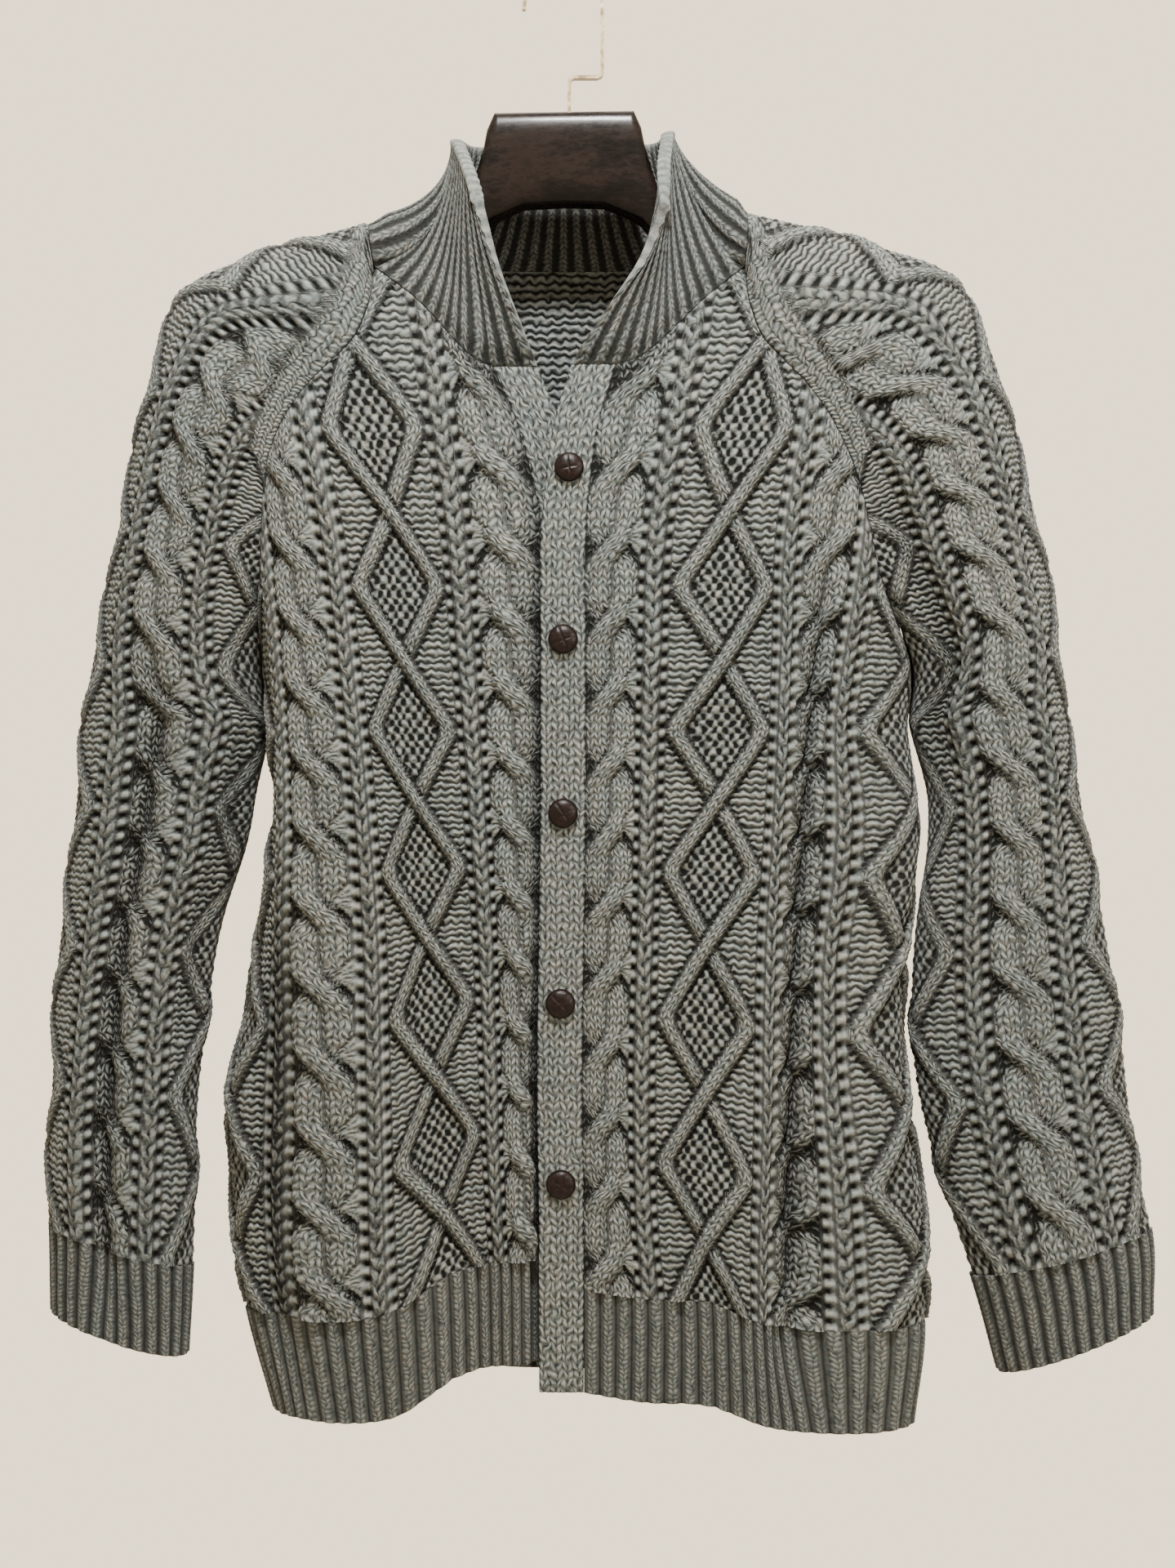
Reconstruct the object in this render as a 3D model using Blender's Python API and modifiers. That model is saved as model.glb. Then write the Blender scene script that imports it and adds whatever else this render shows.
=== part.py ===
"""Cable knit cardigan hanging on its hanger.

Frame: metres, +Z up, the front faces -Y, +X is the viewer's right.
The origin is the inner top of the hanger's hook, where a rod carries it.

Knit coordinates: u is the distance round the body from the centre front (or back), in
millimetres of cloth; v counts pattern repeats down the body (one lattice diamond each).
On a sleeve, s is the distance round from its top line (minus is the front half) and t
counts repeats down the sleeve from the collar.
"""
import math

import bmesh
import bpy
import numpy as np
from mathutils import Vector

MM = 0.001

# ---- driving sizes, mm ------------------------------------------------------------
WALL = 4.0                # knit wall without its raised stitches
COLLAR_WALL = 5.0
SEAM_GAP = 0.3            # each piece stops this far from its seam line
RAGLAN_GAP = 0.75         # the same for a raglan seam
UNDERARM_GAP = 1.9        # and this much further in the tight curve under the arm
UNDERARM_CLEAR = 2.2      # the sleeve stands this far off the body's side there
BAND_GAP = 0.6            # from a front edge to its band
HEM_GAP = 0.62            # half the slit between a panel and its ribbing
CUFF_GAP = {"left": 0.58, "right": 0.18}
NECK_GAP = 1.4            # the collar starts this far above the neckline
REPEAT = 84.0             # height of one lattice diamond
SIDE_U = 245.0            # side seam, from the centre front
BAND_SEAM_U = 13.0        # where the front bands join the panels
BAND_WIDTH = 26.0
UNDERARM_V = 2.4
UNDERARM_T = 4.6
SIDE_Y = 8.0              # depth of the side seams
SLEEVE_HALF_ROUND = 133.0
BODY_END_V = 6.43
HEM_END_V = 7.15
SLEEVE_END_T = 8.25
CUFF_END_T = 8.92
SLEEVE_PHASE = 0.27       # the sleeve lattice crosses at t + phase = whole numbers

# ---- raised stitches, mm ----------------------------------------------------------
ROPE_RISE = 3.0
ROPE_HALF = 9.0
STRAND_RISE = 4.6
STRAND_HALF = 4.5
CABLE_RISE = 4.8
RIB_PITCH = 9.6
RIB_RISE = 2.0
DIAMOND_HALF = 28.0
CABLE_A = (28.5, 15.5)    # centre and half width
CABLE_B = (153.0, 17.0)
BODY_ROPES = (53.0, 127.0, 178.0)
BODY_DIAMONDS = (90.0, 215.0)
SLEEVE_ROPES = (37.0, 87.0)
SLEEVE_CABLE = (62.0, 16.0)
SLEEVE_DIAMONDS = (0.0, 124.0)

# ---- body sections: how far each guide column lies from x = 0, row by row ---------
GUIDES_U = (13.0, 53.0, 90.0, 127.0, 153.0, 178.0, 215.0, 245.0)
#  v      edge  rope1 diamA rope2 cableB rope3 diamB side
FRONT_X = {
    "left": (
        (-0.7, 50.0, 88.0, 138.0, 172.0, 192.0, 208.0, 230.0, 238.0),
        (0.0, 46.0, 79.0, 124.0, 160.0, 180.0, 196.0, 220.0, 230.0),
        (0.5, 26.0, 71.0, 112.0, 150.0, 171.0, 187.0, 206.0, 214.0),
        (1.0, 14.0, 64.0, 101.0, 139.0, 162.0, 178.0, 194.0, 200.0),
        (2.0, 13.0, 56.0, 92.0, 126.0, 151.0, 169.0, 180.0, 182.0),
        (3.0, 13.0, 50.0, 85.0, 117.0, 144.0, 164.0, 172.0, 172.0),
        (4.0, 14.0, 45.0, 79.0, 111.0, 141.0, 166.0, 181.0, 181.0),
        (5.0, 15.0, 42.0, 74.0, 109.0, 138.0, 167.0, 197.0, 197.0),
        (6.0, 14.5, 39.0, 69.0, 107.0, 137.0, 166.0, 194.0, 196.0),
        (6.43, 14.0, 37.0, 66.0, 105.0, 134.0, 162.0, 188.0, 190.0),
        (7.15, 14.0, 36.0, 64.0, 101.0, 127.0, 151.0, 172.0, 174.0),
    ),
    "right": (
        (-0.7, 37.0, 82.0, 132.0, 165.0, 187.0, 203.0, 226.0, 234.0),
        (0.0, 34.0, 75.0, 118.0, 153.0, 174.0, 191.0, 218.0, 228.0),
        (0.5, 20.0, 65.0, 106.0, 143.0, 165.0, 185.0, 214.0, 224.0),
        (1.0, 14.0, 56.0, 97.0, 134.0, 157.0, 180.0, 212.0, 221.0),
        (2.0, 13.0, 51.0, 93.0, 129.0, 147.0, 166.0, 206.0, 213.0),
        (3.0, 13.0, 49.0, 89.0, 125.0, 140.0, 155.0, 197.0, 200.0),
        (4.0, 12.0, 47.0, 83.0, 120.0, 135.0, 151.0, 193.0, 195.0),
        (5.0, 11.0, 45.0, 82.0, 118.0, 132.0, 154.0, 198.0, 202.0),
        (6.0, 12.0, 47.0, 83.0, 115.0, 130.0, 162.0, 208.0, 212.0),
        (6.43, 12.0, 50.0, 86.0, 115.0, 130.0, 166.0, 212.0, 216.0),
        (7.15, 12.0, 50.0, 88.0, 119.0, 140.0, 168.0, 206.0, 211.0),
    ),
}
# how much of the front's depth each guide keeps, 1 at the middle and 0 at the side seam
FRONT_ROUND = (1.0, 1.0, 0.98, 0.95, 0.89, 0.79, 0.36, 0.0)
BACK_GUIDES_U = (0.0, 53.0, 90.0, 127.0, 153.0, 178.0, 215.0, 245.0)
BACK_SPREAD = (0.0, 0.27, 0.46, 0.65, 0.78, 0.89, 0.985, 1.0)
BACK_ROUND = (1.0, 1.0, 0.98, 0.95, 0.89, 0.78, 0.36, 0.0)
# height of the rows and depth of front and back, by v
#       v      z      front  back
ROWS = (
    (-0.7, -180.0, 28.0, 44.0),
    (-0.46, -204.0, 31.0, 45.0),
    (0.0, -250.0, 42.0, 47.0),
    (0.5, -302.0, 50.0, 50.0),
    (1.0, -351.0, 54.0, 52.0),
    (2.0, -438.0, 58.0, 54.0),
    (3.0, -520.0, 60.0, 55.0),
    (4.0, -603.0, 60.0, 55.0),
    (5.0, -689.0, 60.0, 54.0),
    (6.0, -773.0, 60.0, 53.0),
    (6.43, -810.0, 59.0, 52.0),
    (7.15, -870.0, 55.0, 50.0),
)
# the ribbing pulls some columns up and lets others down, at each guide
HEM_LIFT = {
    "left": (24.0, 23.0, 16.0, -8.0, -12.0, -12.0, -13.0, -13.0),
    "right": (8.0, 2.0, 0.0, -13.0, -17.0, -20.0, -22.0, -24.0),
    "back": (-8.0, -4.0, -10.0, -14.0, -10.0, -12.0, -18.0, -18.0),
}
LIFT_STARTS_V = 2.5
# long soft folds: panel, u at the top and bottom, half width, first and last v, depth
FOLDS = (
    ("left", 181.0, 181.0, 21.0, 3.1, 7.4, 11.0),
    ("left", 13.0, 13.0, 17.0, -1.5, 9.0, 9.0),
    ("left", 15.0, 17.0, 19.0, 3.9, 9.0, 5.0),
    ("left", 112.0, 108.0, 26.0, 5.6, 9.0, -5.0),
    ("left", 66.0, 62.0, 26.0, 5.8, 9.0, 4.0),
    ("right", 152.0, 151.0, 19.0, 0.9, 7.0, 16.0),
    ("right", 200.0, 205.0, 30.0, 3.0, 9.0, -5.0),
    ("right", 105.0, 100.0, 30.0, 4.5, 9.0, -4.0),
    ("back", -150.0, -144.0, 28.0, 1.6, 9.0, 9.0),
    ("back", 132.0, 150.0, 28.0, 1.2, 8.0, 10.0),
    ("back", -48.0, -30.0, 30.0, 3.4, 9.0, 7.0),
    ("back", 70.0, 64.0, 26.0, 4.2, 9.0, 6.0),
    ("back", -95.0, -90.0, 30.0, 4.0, 9.0, -4.0),
)

# ---- neckline and raglan seams ----------------------------------------------------
FRONT_NECK = ((13.0, 0.14), (25.0, 0.10), (36.0, 0.0), (50.0, -0.17), (62.0, -0.32), (74.0, -0.46))
BACK_NECK = ((0.0, -0.60), (40.0, -0.61), (70.0, -0.64), (84.0, -0.66))
#        v     front u  back u
RAGLAN = (
    (-0.7, 70.0, 83.0),
    (-0.46, 74.0, 87.0),
    (-0.2, 80.0, 92.0),
    (0.0, 91.0, 100.0),
    (0.12, 105.0, 110.0),
    (0.22, 118.0, 120.0),
    (0.45, 143.0, 143.0),
    (0.78, 167.0, 167.0),
    (1.0, 176.0, 177.0),
    (1.4, 190.0, 191.0),
    (1.9, 213.0, 213.0),
    (2.4, 245.0, 245.0),
)
# sleeve rows: t, raglan v in front and behind, distance round to the seam, then the top
# line's x and z, the underarm line's x and z, half depth in front and behind
SLEEVE = {
    "left": (
        (0.0, -0.46, -0.66, 28.0, 117.0, -173.0, 170.0, -400.0, 36.0, 46.0),
        (0.5, -0.18, -0.30, 40.0, 156.0, -182.0, 170.0, -410.0, 42.0, 48.0),
        (1.0, 0.14, 0.10, 60.0, 196.0, -195.0, 170.0, -420.0, 47.0, 50.0),
        (1.5, 0.33, 0.31, 82.0, 229.0, -213.0, 170.0, -430.0, 48.0, 50.0),
        (2.0, 0.55, 0.55, 98.0, 245.0, -252.0, 170.0, -440.0, 48.0, 49.0),
        (3.0, 1.10, 1.10, 116.0, 264.0, -337.0, 170.0, -450.0, 45.0, 45.0),
        (4.0, 1.86, 1.86, 128.0, 281.0, -419.0, 172.0, -460.0, 40.0, 40.0),
        (4.6, 2.40, 2.40, 133.0, 289.0, -468.0, 180.0, -471.0, 37.0, 37.0),
        (5.0, 2.40, 2.40, 133.0, 293.0, -502.0, 187.0, -508.0, 35.0, 35.0),
        (5.5, 2.40, 2.40, 133.0, 298.0, -545.0, 194.0, -546.0, 34.0, 34.0),
        (6.0, 2.40, 2.40, 133.0, 302.0, -586.0, 208.0, -590.0, 33.0, 33.0),
        (7.0, 2.40, 2.40, 133.0, 308.0, -668.0, 222.0, -676.0, 33.0, 33.0),
        (8.0, 2.40, 2.40, 133.0, 311.0, -752.0, 227.0, -772.0, 32.0, 32.0),
        (8.25, 2.40, 2.40, 133.0, 310.0, -774.0, 228.0, -800.0, 31.0, 31.0),
        (8.92, 2.40, 2.40, 133.0, 309.0, -826.0, 231.0, -853.0, 29.0, 29.0),
    ),
    "right": (
        (0.0, -0.46, -0.66, 28.0, 110.0, -166.0, 205.0, -400.0, 36.0, 46.0),
        (0.5, -0.18, -0.30, 40.0, 150.0, -175.0, 205.0, -410.0, 42.0, 48.0),
        (1.0, 0.14, 0.10, 60.0, 193.0, -187.0, 205.0, -420.0, 47.0, 50.0),
        (1.5, 0.33, 0.31, 82.0, 232.0, -203.0, 205.0, -430.0, 48.0, 50.0),
        (2.0, 0.55, 0.55, 98.0, 254.0, -241.0, 205.0, -440.0, 48.0, 49.0),
        (3.0, 1.10, 1.10, 116.0, 279.0, -325.0, 205.0, -450.0, 45.0, 45.0),
        (4.0, 1.86, 1.86, 128.0, 295.0, -410.0, 208.0, -460.0, 40.0, 40.0),
        (4.6, 2.40, 2.40, 133.0, 302.0, -462.0, 214.0, -471.0, 37.0, 37.0),
        (5.0, 2.40, 2.40, 133.0, 309.0, -496.0, 221.0, -508.0, 34.0, 34.0),
        (5.5, 2.40, 2.40, 133.0, 315.0, -538.0, 222.0, -548.0, 31.0, 31.0),
        (6.0, 2.40, 2.40, 133.0, 323.0, -582.0, 216.0, -592.0, 29.0, 29.0),
        (7.0, 2.40, 2.40, 133.0, 337.0, -668.0, 216.0, -682.0, 27.0, 27.0),
        (8.0, 2.40, 2.40, 133.0, 349.0, -755.0, 240.0, -776.0, 27.0, 27.0),
        (8.25, 2.40, 2.40, 133.0, 354.0, -778.0, 250.0, -806.0, 27.0, 27.0),
        (8.92, 2.40, 2.40, 133.0, 355.0, -829.0, 266.0, -863.0, 26.0, 26.0),
    ),
}
# long creases in the sleeves: side, s, half width, first and last t, depth
CREASES = (
    ("left", -58.0, 17.0, 3.6, 9.2, 13.0),
    ("left", 70.0, 18.0, 3.0, 8.6, 9.0),
    ("left", -104.0, 16.0, 4.2, 7.2, 5.0),
    ("right", -100.0, 20.0, 2.4, 5.2, 7.0),
    ("right", 58.0, 18.0, 3.4, 8.8, 9.0),
    ("right", 20.0, 16.0, 4.8, 8.4, 6.0),
)
# collar stations from the left front edge round the back to the right: the top edge
#  x, y, z of the top, and how strongly the wall flares between seam and top
COLLAR_TOP = (
    (-48.0, -42.0, -165.0, 0.1),
    (-51.0, -34.0, -152.0, 0.2),
    (-55.0, -22.0, -139.0, 0.4),
    (-60.0, -6.0, -124.0, 0.7),
    (-63.0, 10.0, -116.0, 0.9),
    (-63.0, 24.0, -113.0, 1.0),
    (-56.0, 38.0, -112.0, 0.8),
    (-33.0, 49.0, -109.0, 0.5),
    (0.0, 53.0, -107.0, 0.4),
    (33.0, 49.0, -108.0, 0.5),
    (55.0, 38.0, -110.0, 0.7),
    (61.0, 24.0, -110.0, 0.5),
    (60.0, 10.0, -112.0, 0.3),
    (59.0, -6.0, -121.0, 0.3),
    (57.0, -22.0, -137.0, 0.4),
    (57.0, -34.0, -152.0, 0.2),
    (59.0, -42.0, -168.0, 0.1),
)

# ---- buttons, hanger and hook, mm -------------------------------------------------
BUTTON_V = (0.74, 1.86, 3.09, 4.44, 5.71)
BUTTON_RADIUS = 8.6
BUTTON_DOME = 5.4
BUTTON_EDGE = 1.6
BUTTON_LIFT = 0.15        # from the band's middle line to the button's back
BUTTON_STEPS = 11
# hanger sections: distance from the middle, top z, bottom z, half thickness
HANGER = (
    (0.0, -104.0, -160.0, 11.0),
    (24.0, -104.0, -161.0, 11.0),
    (42.0, -104.0, -169.0, 11.0),
    (46.5, -114.0, -172.0, 11.0),
    (49.0, -127.0, -175.0, 11.0),
    (57.0, -152.0, -182.0, 10.5),
    (70.0, -181.0, -195.0, 9.5),
    (95.0, -190.0, -207.0, 10.5),
    (120.0, -186.7, -213.7, 14.0),
    (160.0, -192.7, -225.7, 17.0),
    (195.0, -201.7, -236.7, 18.0),
    (215.0, -211.7, -240.7, 16.0),
    (223.0, -221.7, -238.7, 10.0),
)
HANGER_TILT = 0.016       # rise of the hanger towards +X
HOOK_RADIUS = 23.0        # middle of the strip
HOOK_THICK = 2.0
HOOK_DEEP = 4.8
HOOK_JOG_Z = -82.0
HOOK_STEM_X = 3.0

OUTWARD = {"left": 1.0, "right": -1.0, "back": 1.0}


# ---- curves and surfaces ----------------------------------------------------------
def smooth_value(knots, values, at):
    """Smooth curve through values at rising knots; values may differ point by point."""
    knots = np.asarray(knots, float)
    values = np.asarray(values, float)
    at = np.clip(np.asarray(at, float), knots[0], knots[-1])
    step = np.diff(knots)
    rise = np.diff(values, axis=-1) / step
    inner = (rise[..., :-1] * step[1:] + rise[..., 1:] * step[:-1]) / (step[1:] + step[:-1])
    slope = np.concatenate([rise[..., :1], inner, rise[..., -1:]], axis=-1)
    cell = np.clip(np.searchsorted(knots, at, side="right") - 1, 0, len(knots) - 2)

    def pick(rows, index):
        if rows.ndim == 1:
            return rows[index]
        return np.take_along_axis(rows, index[..., None], -1)[..., 0]

    width = step[cell]
    w = (at - knots[cell]) / width
    start = (2 * w**3 - 3 * w**2 + 1) * pick(values, cell)
    start = start + (w**3 - 2 * w**2 + w) * width * pick(slope, cell)
    end = (3 * w**2 - 2 * w**3) * pick(values, cell + 1)
    return start + end + (w**3 - w**2) * width * pick(slope, cell + 1)


def column(rows, index):
    return np.array([row[index] for row in rows])


def soft_step(value):
    value = np.clip(value, 0.0, 1.0)
    return value * value * (3.0 - 2.0 * value)


def bell(distance):
    """One at zero, falling smoothly to zero at one."""
    return np.cos(np.clip(np.abs(distance), 0.0, 1.0) * math.pi / 2) ** 2


def fold_depth(panel, u, v):
    """How far the long folds push a body panel inward."""
    depth = np.zeros(np.shape(u))
    for name, u_top, u_bottom, half, v_start, v_end, fold in FOLDS:
        if name == panel:
            run = (v - v_start) / (v_end - v_start)
            middle = u_top + (u_bottom - u_top) * np.clip(run, 0.0, 1.0)
            ends = soft_step(run / 0.28) * soft_step((1.0 - run) / 0.22)
            depth = depth + fold * bell((u - middle) / half) * ends
    return depth


def row_height(panel, u, v):
    """Height of a body row; the lift is straight between the columns that meet the hem."""
    guides = BACK_GUIDES_U if panel == "back" else GUIDES_U
    knots = np.append(0.0, body_lines(np.array([BODY_END_V]))[0])
    lift = np.interp(np.abs(u), knots, smooth_value(guides, HEM_LIFT[panel], knots))
    if panel == "back":
        side = np.where(u < 0, HEM_LIFT["left"][-1], HEM_LIFT["right"][-1])
        near = soft_step((np.abs(u) - 170.0) / (SIDE_U - 170.0))
        lift = lift * (1.0 - near) + side * near
    ramp = soft_step((v - LIFT_STARTS_V) / (BODY_END_V - LIFT_STARTS_V))
    return smooth_value(column(ROWS, 0), column(ROWS, 1), v) + lift * ramp


def side_line(side, v):
    """Distance of a side seam from x = 0."""
    rows = FRONT_X[side]
    return smooth_value(column(rows, 0), column(rows, 8), v)


def front_point(side, u, v):
    """Point of a front panel's outer base surface; u runs outward from the centre."""
    rows = FRONT_X[side]
    levels = column(rows, 0)
    guides = [smooth_value(levels, column(rows, k + 1), v) for k in range(len(GUIDES_U))]
    x = smooth_value(GUIDES_U, np.stack(guides, axis=-1), u)
    depth = smooth_value(column(ROWS, 0), column(ROWS, 2), v)
    y = SIDE_Y - (depth + SIDE_Y) * smooth_value(GUIDES_U, FRONT_ROUND, u)
    y = y + fold_depth(side, u, v)
    sign = -1.0 if side == "left" else 1.0
    return np.stack([sign * x, y, row_height(side, u, v)], axis=-1)


def back_point(u, v):
    """Point of the back's outer base surface; u is minus on the left."""
    reach = np.where(u < 0, side_line("left", v), side_line("right", v))
    away = np.abs(u)
    x = np.sign(u) * reach * smooth_value(BACK_GUIDES_U, BACK_SPREAD, away)
    depth = smooth_value(column(ROWS, 0), column(ROWS, 3), v)
    y = SIDE_Y + (depth - SIDE_Y) * smooth_value(BACK_GUIDES_U, BACK_ROUND, away)
    y = y - fold_depth("back", u, v)
    return np.stack([x, y, row_height("back", u, v)], axis=-1)


def raglan_u(v, behind=False):
    return smooth_value(column(RAGLAN, 0), column(RAGLAN, 2 if behind else 1), v)


def neck_v(u, behind=False):
    table = BACK_NECK if behind else FRONT_NECK
    return smooth_value(column(table, 0), column(table, 1), np.abs(u))


def sleeve_row(side, index, t):
    rows = SLEEVE[side]
    return smooth_value(column(rows, 0), column(rows, index), t)


def seam_reach(side, t):
    """Distance round the sleeve from its top line to the seam."""
    return sleeve_row(side, 3, t)


def sleeve_half(side, t, behind, samples=41):
    """One half of a sleeve section, from the top line round to the seam."""
    sign = -1.0 if side == "left" else 1.0
    v = float(sleeve_row(side, 2 if behind else 1, t))
    u = float(raglan_u(v, behind))
    away = 1.0 if behind else -1.0
    top = np.array([sign * float(sleeve_row(side, 4, t)), 0.0, float(sleeve_row(side, 5, t))])
    under = np.array([sign * float(sleeve_row(side, 6, t)), SIDE_Y, float(sleeve_row(side, 7, t))])
    seam = back_point(np.array(sign * u), np.array(v)) if behind else front_point(side, np.array(u), np.array(v))
    if t >= UNDERARM_T:
        start_x = sign * float(sleeve_row(side, 6, UNDERARM_T))
        start = np.array([start_x, SIDE_Y, float(sleeve_row(side, 7, UNDERARM_T))])
        follow = 1.0 - float(soft_step((t - UNDERARM_T) / 0.6))
        seam = under + (seam - start) * follow
    seam = seam + np.array([sign * UNDERARM_CLEAR * float(bell((t - 4.5) / 0.8)), 0.0, 0.0])
    half = max(float(sleeve_row(side, 9 if behind else 8, t)), abs(seam[1]) * 1.01)
    first = math.asin(max(-1.0, min(1.0, away * seam[1] / half)))
    turn = np.linspace(math.pi, first, samples)
    share = (math.cos(first) - np.cos(turn)) / (math.cos(first) + 1.0)
    points = seam[None, :] + (top - seam)[None, :] * share[:, None]
    points[:, 1] = away * half * np.sin(turn)
    return points


def sleeve_section(side, t, samples=41):
    """Closed row of a sleeve from the front seam over the top line to the back seam."""
    front = sleeve_half(side, t, False, samples)
    back = sleeve_half(side, t, True, samples)
    loop = np.concatenate([front[::-1], back[1:]])
    reach = float(seam_reach(side, t))
    lengths = np.concatenate([[0.0], np.cumsum(np.linalg.norm(np.diff(loop, axis=0), axis=1))])
    middle = lengths[samples - 1]
    share = np.where(lengths < middle, (lengths - middle) / middle,
                     (lengths - middle) / (lengths[-1] - middle))
    tangent = np.gradient(loop, axis=0)
    along = np.array([0.0, 0.0, -1.0])
    outward = np.cross(tangent, along[None, :])
    outward = outward / np.maximum(np.linalg.norm(outward, axis=1), 1e-6)[:, None]
    centre = loop.mean(axis=0)
    flip = np.sign(np.sum(outward * (loop - centre), axis=1).mean())
    for name, place, half, t_start, t_end, depth in CREASES:
        if name == side:
            run = (t - t_start) / (t_end - t_start)
            ends = float(soft_step(run / 0.3) * soft_step((1.0 - run) / 0.2))
            push = depth * ends * bell((share * reach - place) / half)
            loop = loop - flip * outward * push[:, None]
    lengths = np.concatenate([[0.0], np.cumsum(np.linalg.norm(np.diff(loop, axis=0), axis=1))])
    middle = lengths[samples - 1]
    share = np.where(lengths < middle, (lengths - middle) / middle,
                     (lengths - middle) / (lengths[-1] - middle))
    even = np.linspace(-1.0, 1.0, 2 * samples - 1)
    return np.stack([np.interp(even, share, loop[:, k]) for k in range(3)], axis=-1)


SLEEVE_STEPS = 240


def sleeve_grid(side):
    rows = np.linspace(0.0, CUFF_END_T, SLEEVE_STEPS + 1)
    return np.stack([sleeve_section(side, float(t)) for t in rows])


SLEEVE_GRID = {}


def sleeve_point(side, s, t):
    """Point of a sleeve's outer base surface."""
    if side not in SLEEVE_GRID:
        SLEEVE_GRID[side] = sleeve_grid(side)
    grid = SLEEVE_GRID[side]
    share = np.clip(s / seam_reach(side, t), -1.0, 1.0)
    across = (share + 1.0) / 2.0 * (grid.shape[1] - 1)
    down = np.clip(t / CUFF_END_T, 0.0, 1.0) * SLEEVE_STEPS
    j = np.clip(np.floor(across).astype(int), 0, grid.shape[1] - 2)
    i = np.clip(np.floor(down).astype(int), 0, SLEEVE_STEPS - 1)
    fj = (across - j)[..., None]
    fi = (down - i)[..., None]
    upper = grid[i, j] * (1 - fj) + grid[i, j + 1] * fj
    lower = grid[i + 1, j] * (1 - fj) + grid[i + 1, j + 1] * fj
    return upper * (1 - fi) + lower * fi


def normals(surface, a, b, step_a, step_b, outward):
    """Unit normals of surface(a, b), pointing out of the cloth."""
    da = surface(a + step_a, b) - surface(a - step_a, b)
    db = surface(a, b + step_b) - surface(a, b - step_b)
    cross = np.cross(da, db) * outward
    return cross / np.maximum(np.linalg.norm(cross, axis=-1), 1e-9)[..., None]


# ---- raised stitches --------------------------------------------------------------
def strand_offset(v):
    """Distance of a lattice strand from its diamond's axis."""
    wave = np.abs(v - np.round(v)) * 2.0
    wave = 0.75 * wave + 0.25 * np.sin(math.pi * np.mod(v, 1.0)) ** 2
    return 4.9 + (DIAMOND_HALF - STRAND_HALF - 6.1) * wave


def ridge(distance, half):
    return np.clip(1.0 - np.abs(distance) / half, 0.0, 1.0)


def cable_rise(distance, half, phase, hand):
    """Two strands of a cable; the one on top crosses over once each phase."""
    turn = np.mod(phase, 1.0)
    swing = hand * (turn - 0.5)
    over = ridge(distance / half - swing, 0.62) * (4.4 + 1.0 * np.sin(math.pi * turn))
    under = ridge(distance / half + swing, 0.62) * (4.4 - 2.0 * np.sin(math.pi * turn))
    return np.maximum(over, under) * CABLE_RISE / 4.8


def body_relief(u, v):
    away = np.abs(u)
    rise = np.zeros(np.shape(away * v))
    for rope in BODY_ROPES:
        rise = np.maximum(rise, ROPE_RISE * ridge(away - rope, ROPE_HALF))
    for axis in BODY_DIAMONDS:
        inside = np.abs(away - axis) < DIAMOND_HALF + 2.5
        strand = STRAND_RISE * ridge(np.abs(away - axis) - strand_offset(v), STRAND_HALF)
        rise = np.where(inside, np.maximum(rise, strand), rise)
    for (axis, half), hand in ((CABLE_A, -1.0), (CABLE_B, -1.0)):
        cable = cable_rise(away - axis, half, 2.0 * v, hand)
        rise = np.where(np.abs(away - axis) < half, np.maximum(rise, cable), rise)
    return rise


def sleeve_relief(s, t):
    away = np.abs(s)
    v = t + SLEEVE_PHASE
    rise = np.zeros(np.shape(away * v))
    for rope in SLEEVE_ROPES:
        rise = np.maximum(rise, ROPE_RISE * ridge(away - rope, ROPE_HALF))
    for axis in SLEEVE_DIAMONDS:
        inside = np.abs(away - axis) < DIAMOND_HALF + 2.5
        strand = STRAND_RISE * ridge(np.abs(away - axis) - strand_offset(v), STRAND_HALF)
        rise = np.where(inside, np.maximum(rise, strand), rise)
    axis, half = SLEEVE_CABLE
    cable = cable_rise(away - axis, half, 2.0 * v, 1.0)
    return np.where(np.abs(away - axis) < half, np.maximum(rise, cable), rise)


# ---- lattices of columns and rows -------------------------------------------------
def diamond_lines(axis, v, first=True, last=True):
    """Columns that follow a diamond's strands down the rows v."""
    w = strand_offset(v)
    lines = []
    if first:
        lines += [axis - w - STRAND_HALF, axis - w, axis - w + STRAND_HALF]
    if last:
        lines += [axis + w - STRAND_HALF, axis + w, axis + w + STRAND_HALF]
    return lines


def even_lines(start, end, count, v):
    return [np.full(np.shape(v), start + (end - start) * k / count) for k in range(count)]


def body_lines(v):
    """Columns from the band seam to the side seam, one row of u for each v."""
    lines = even_lines(BAND_SEAM_U, 44.0, 4, v)
    lines += even_lines(44.0, 62.0, 2, v)
    lines += even_lines(62.0, 63.0, 1, v) + diamond_lines(90.0, v, last=False)
    lines += even_lines(90.0, 91.0, 1, v) + diamond_lines(90.0, v, first=False)
    lines += even_lines(118.0, 136.0, 2, v)
    lines += even_lines(136.0, 170.0, 4, v)
    lines += even_lines(170.0, 187.0, 2, v)
    lines += even_lines(187.0, 188.0, 1, v) + diamond_lines(215.0, v, last=False)
    lines += even_lines(215.0, 216.0, 1, v) + diamond_lines(215.0, v, first=False)
    lines += [np.full(np.shape(v), SIDE_U)]
    return np.stack(lines, axis=-1)


def back_lines(v):
    half = body_lines(v)
    middle = np.zeros(np.shape(v))[..., None]
    return np.concatenate([-half[..., ::-1], middle, half], axis=-1)


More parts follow.
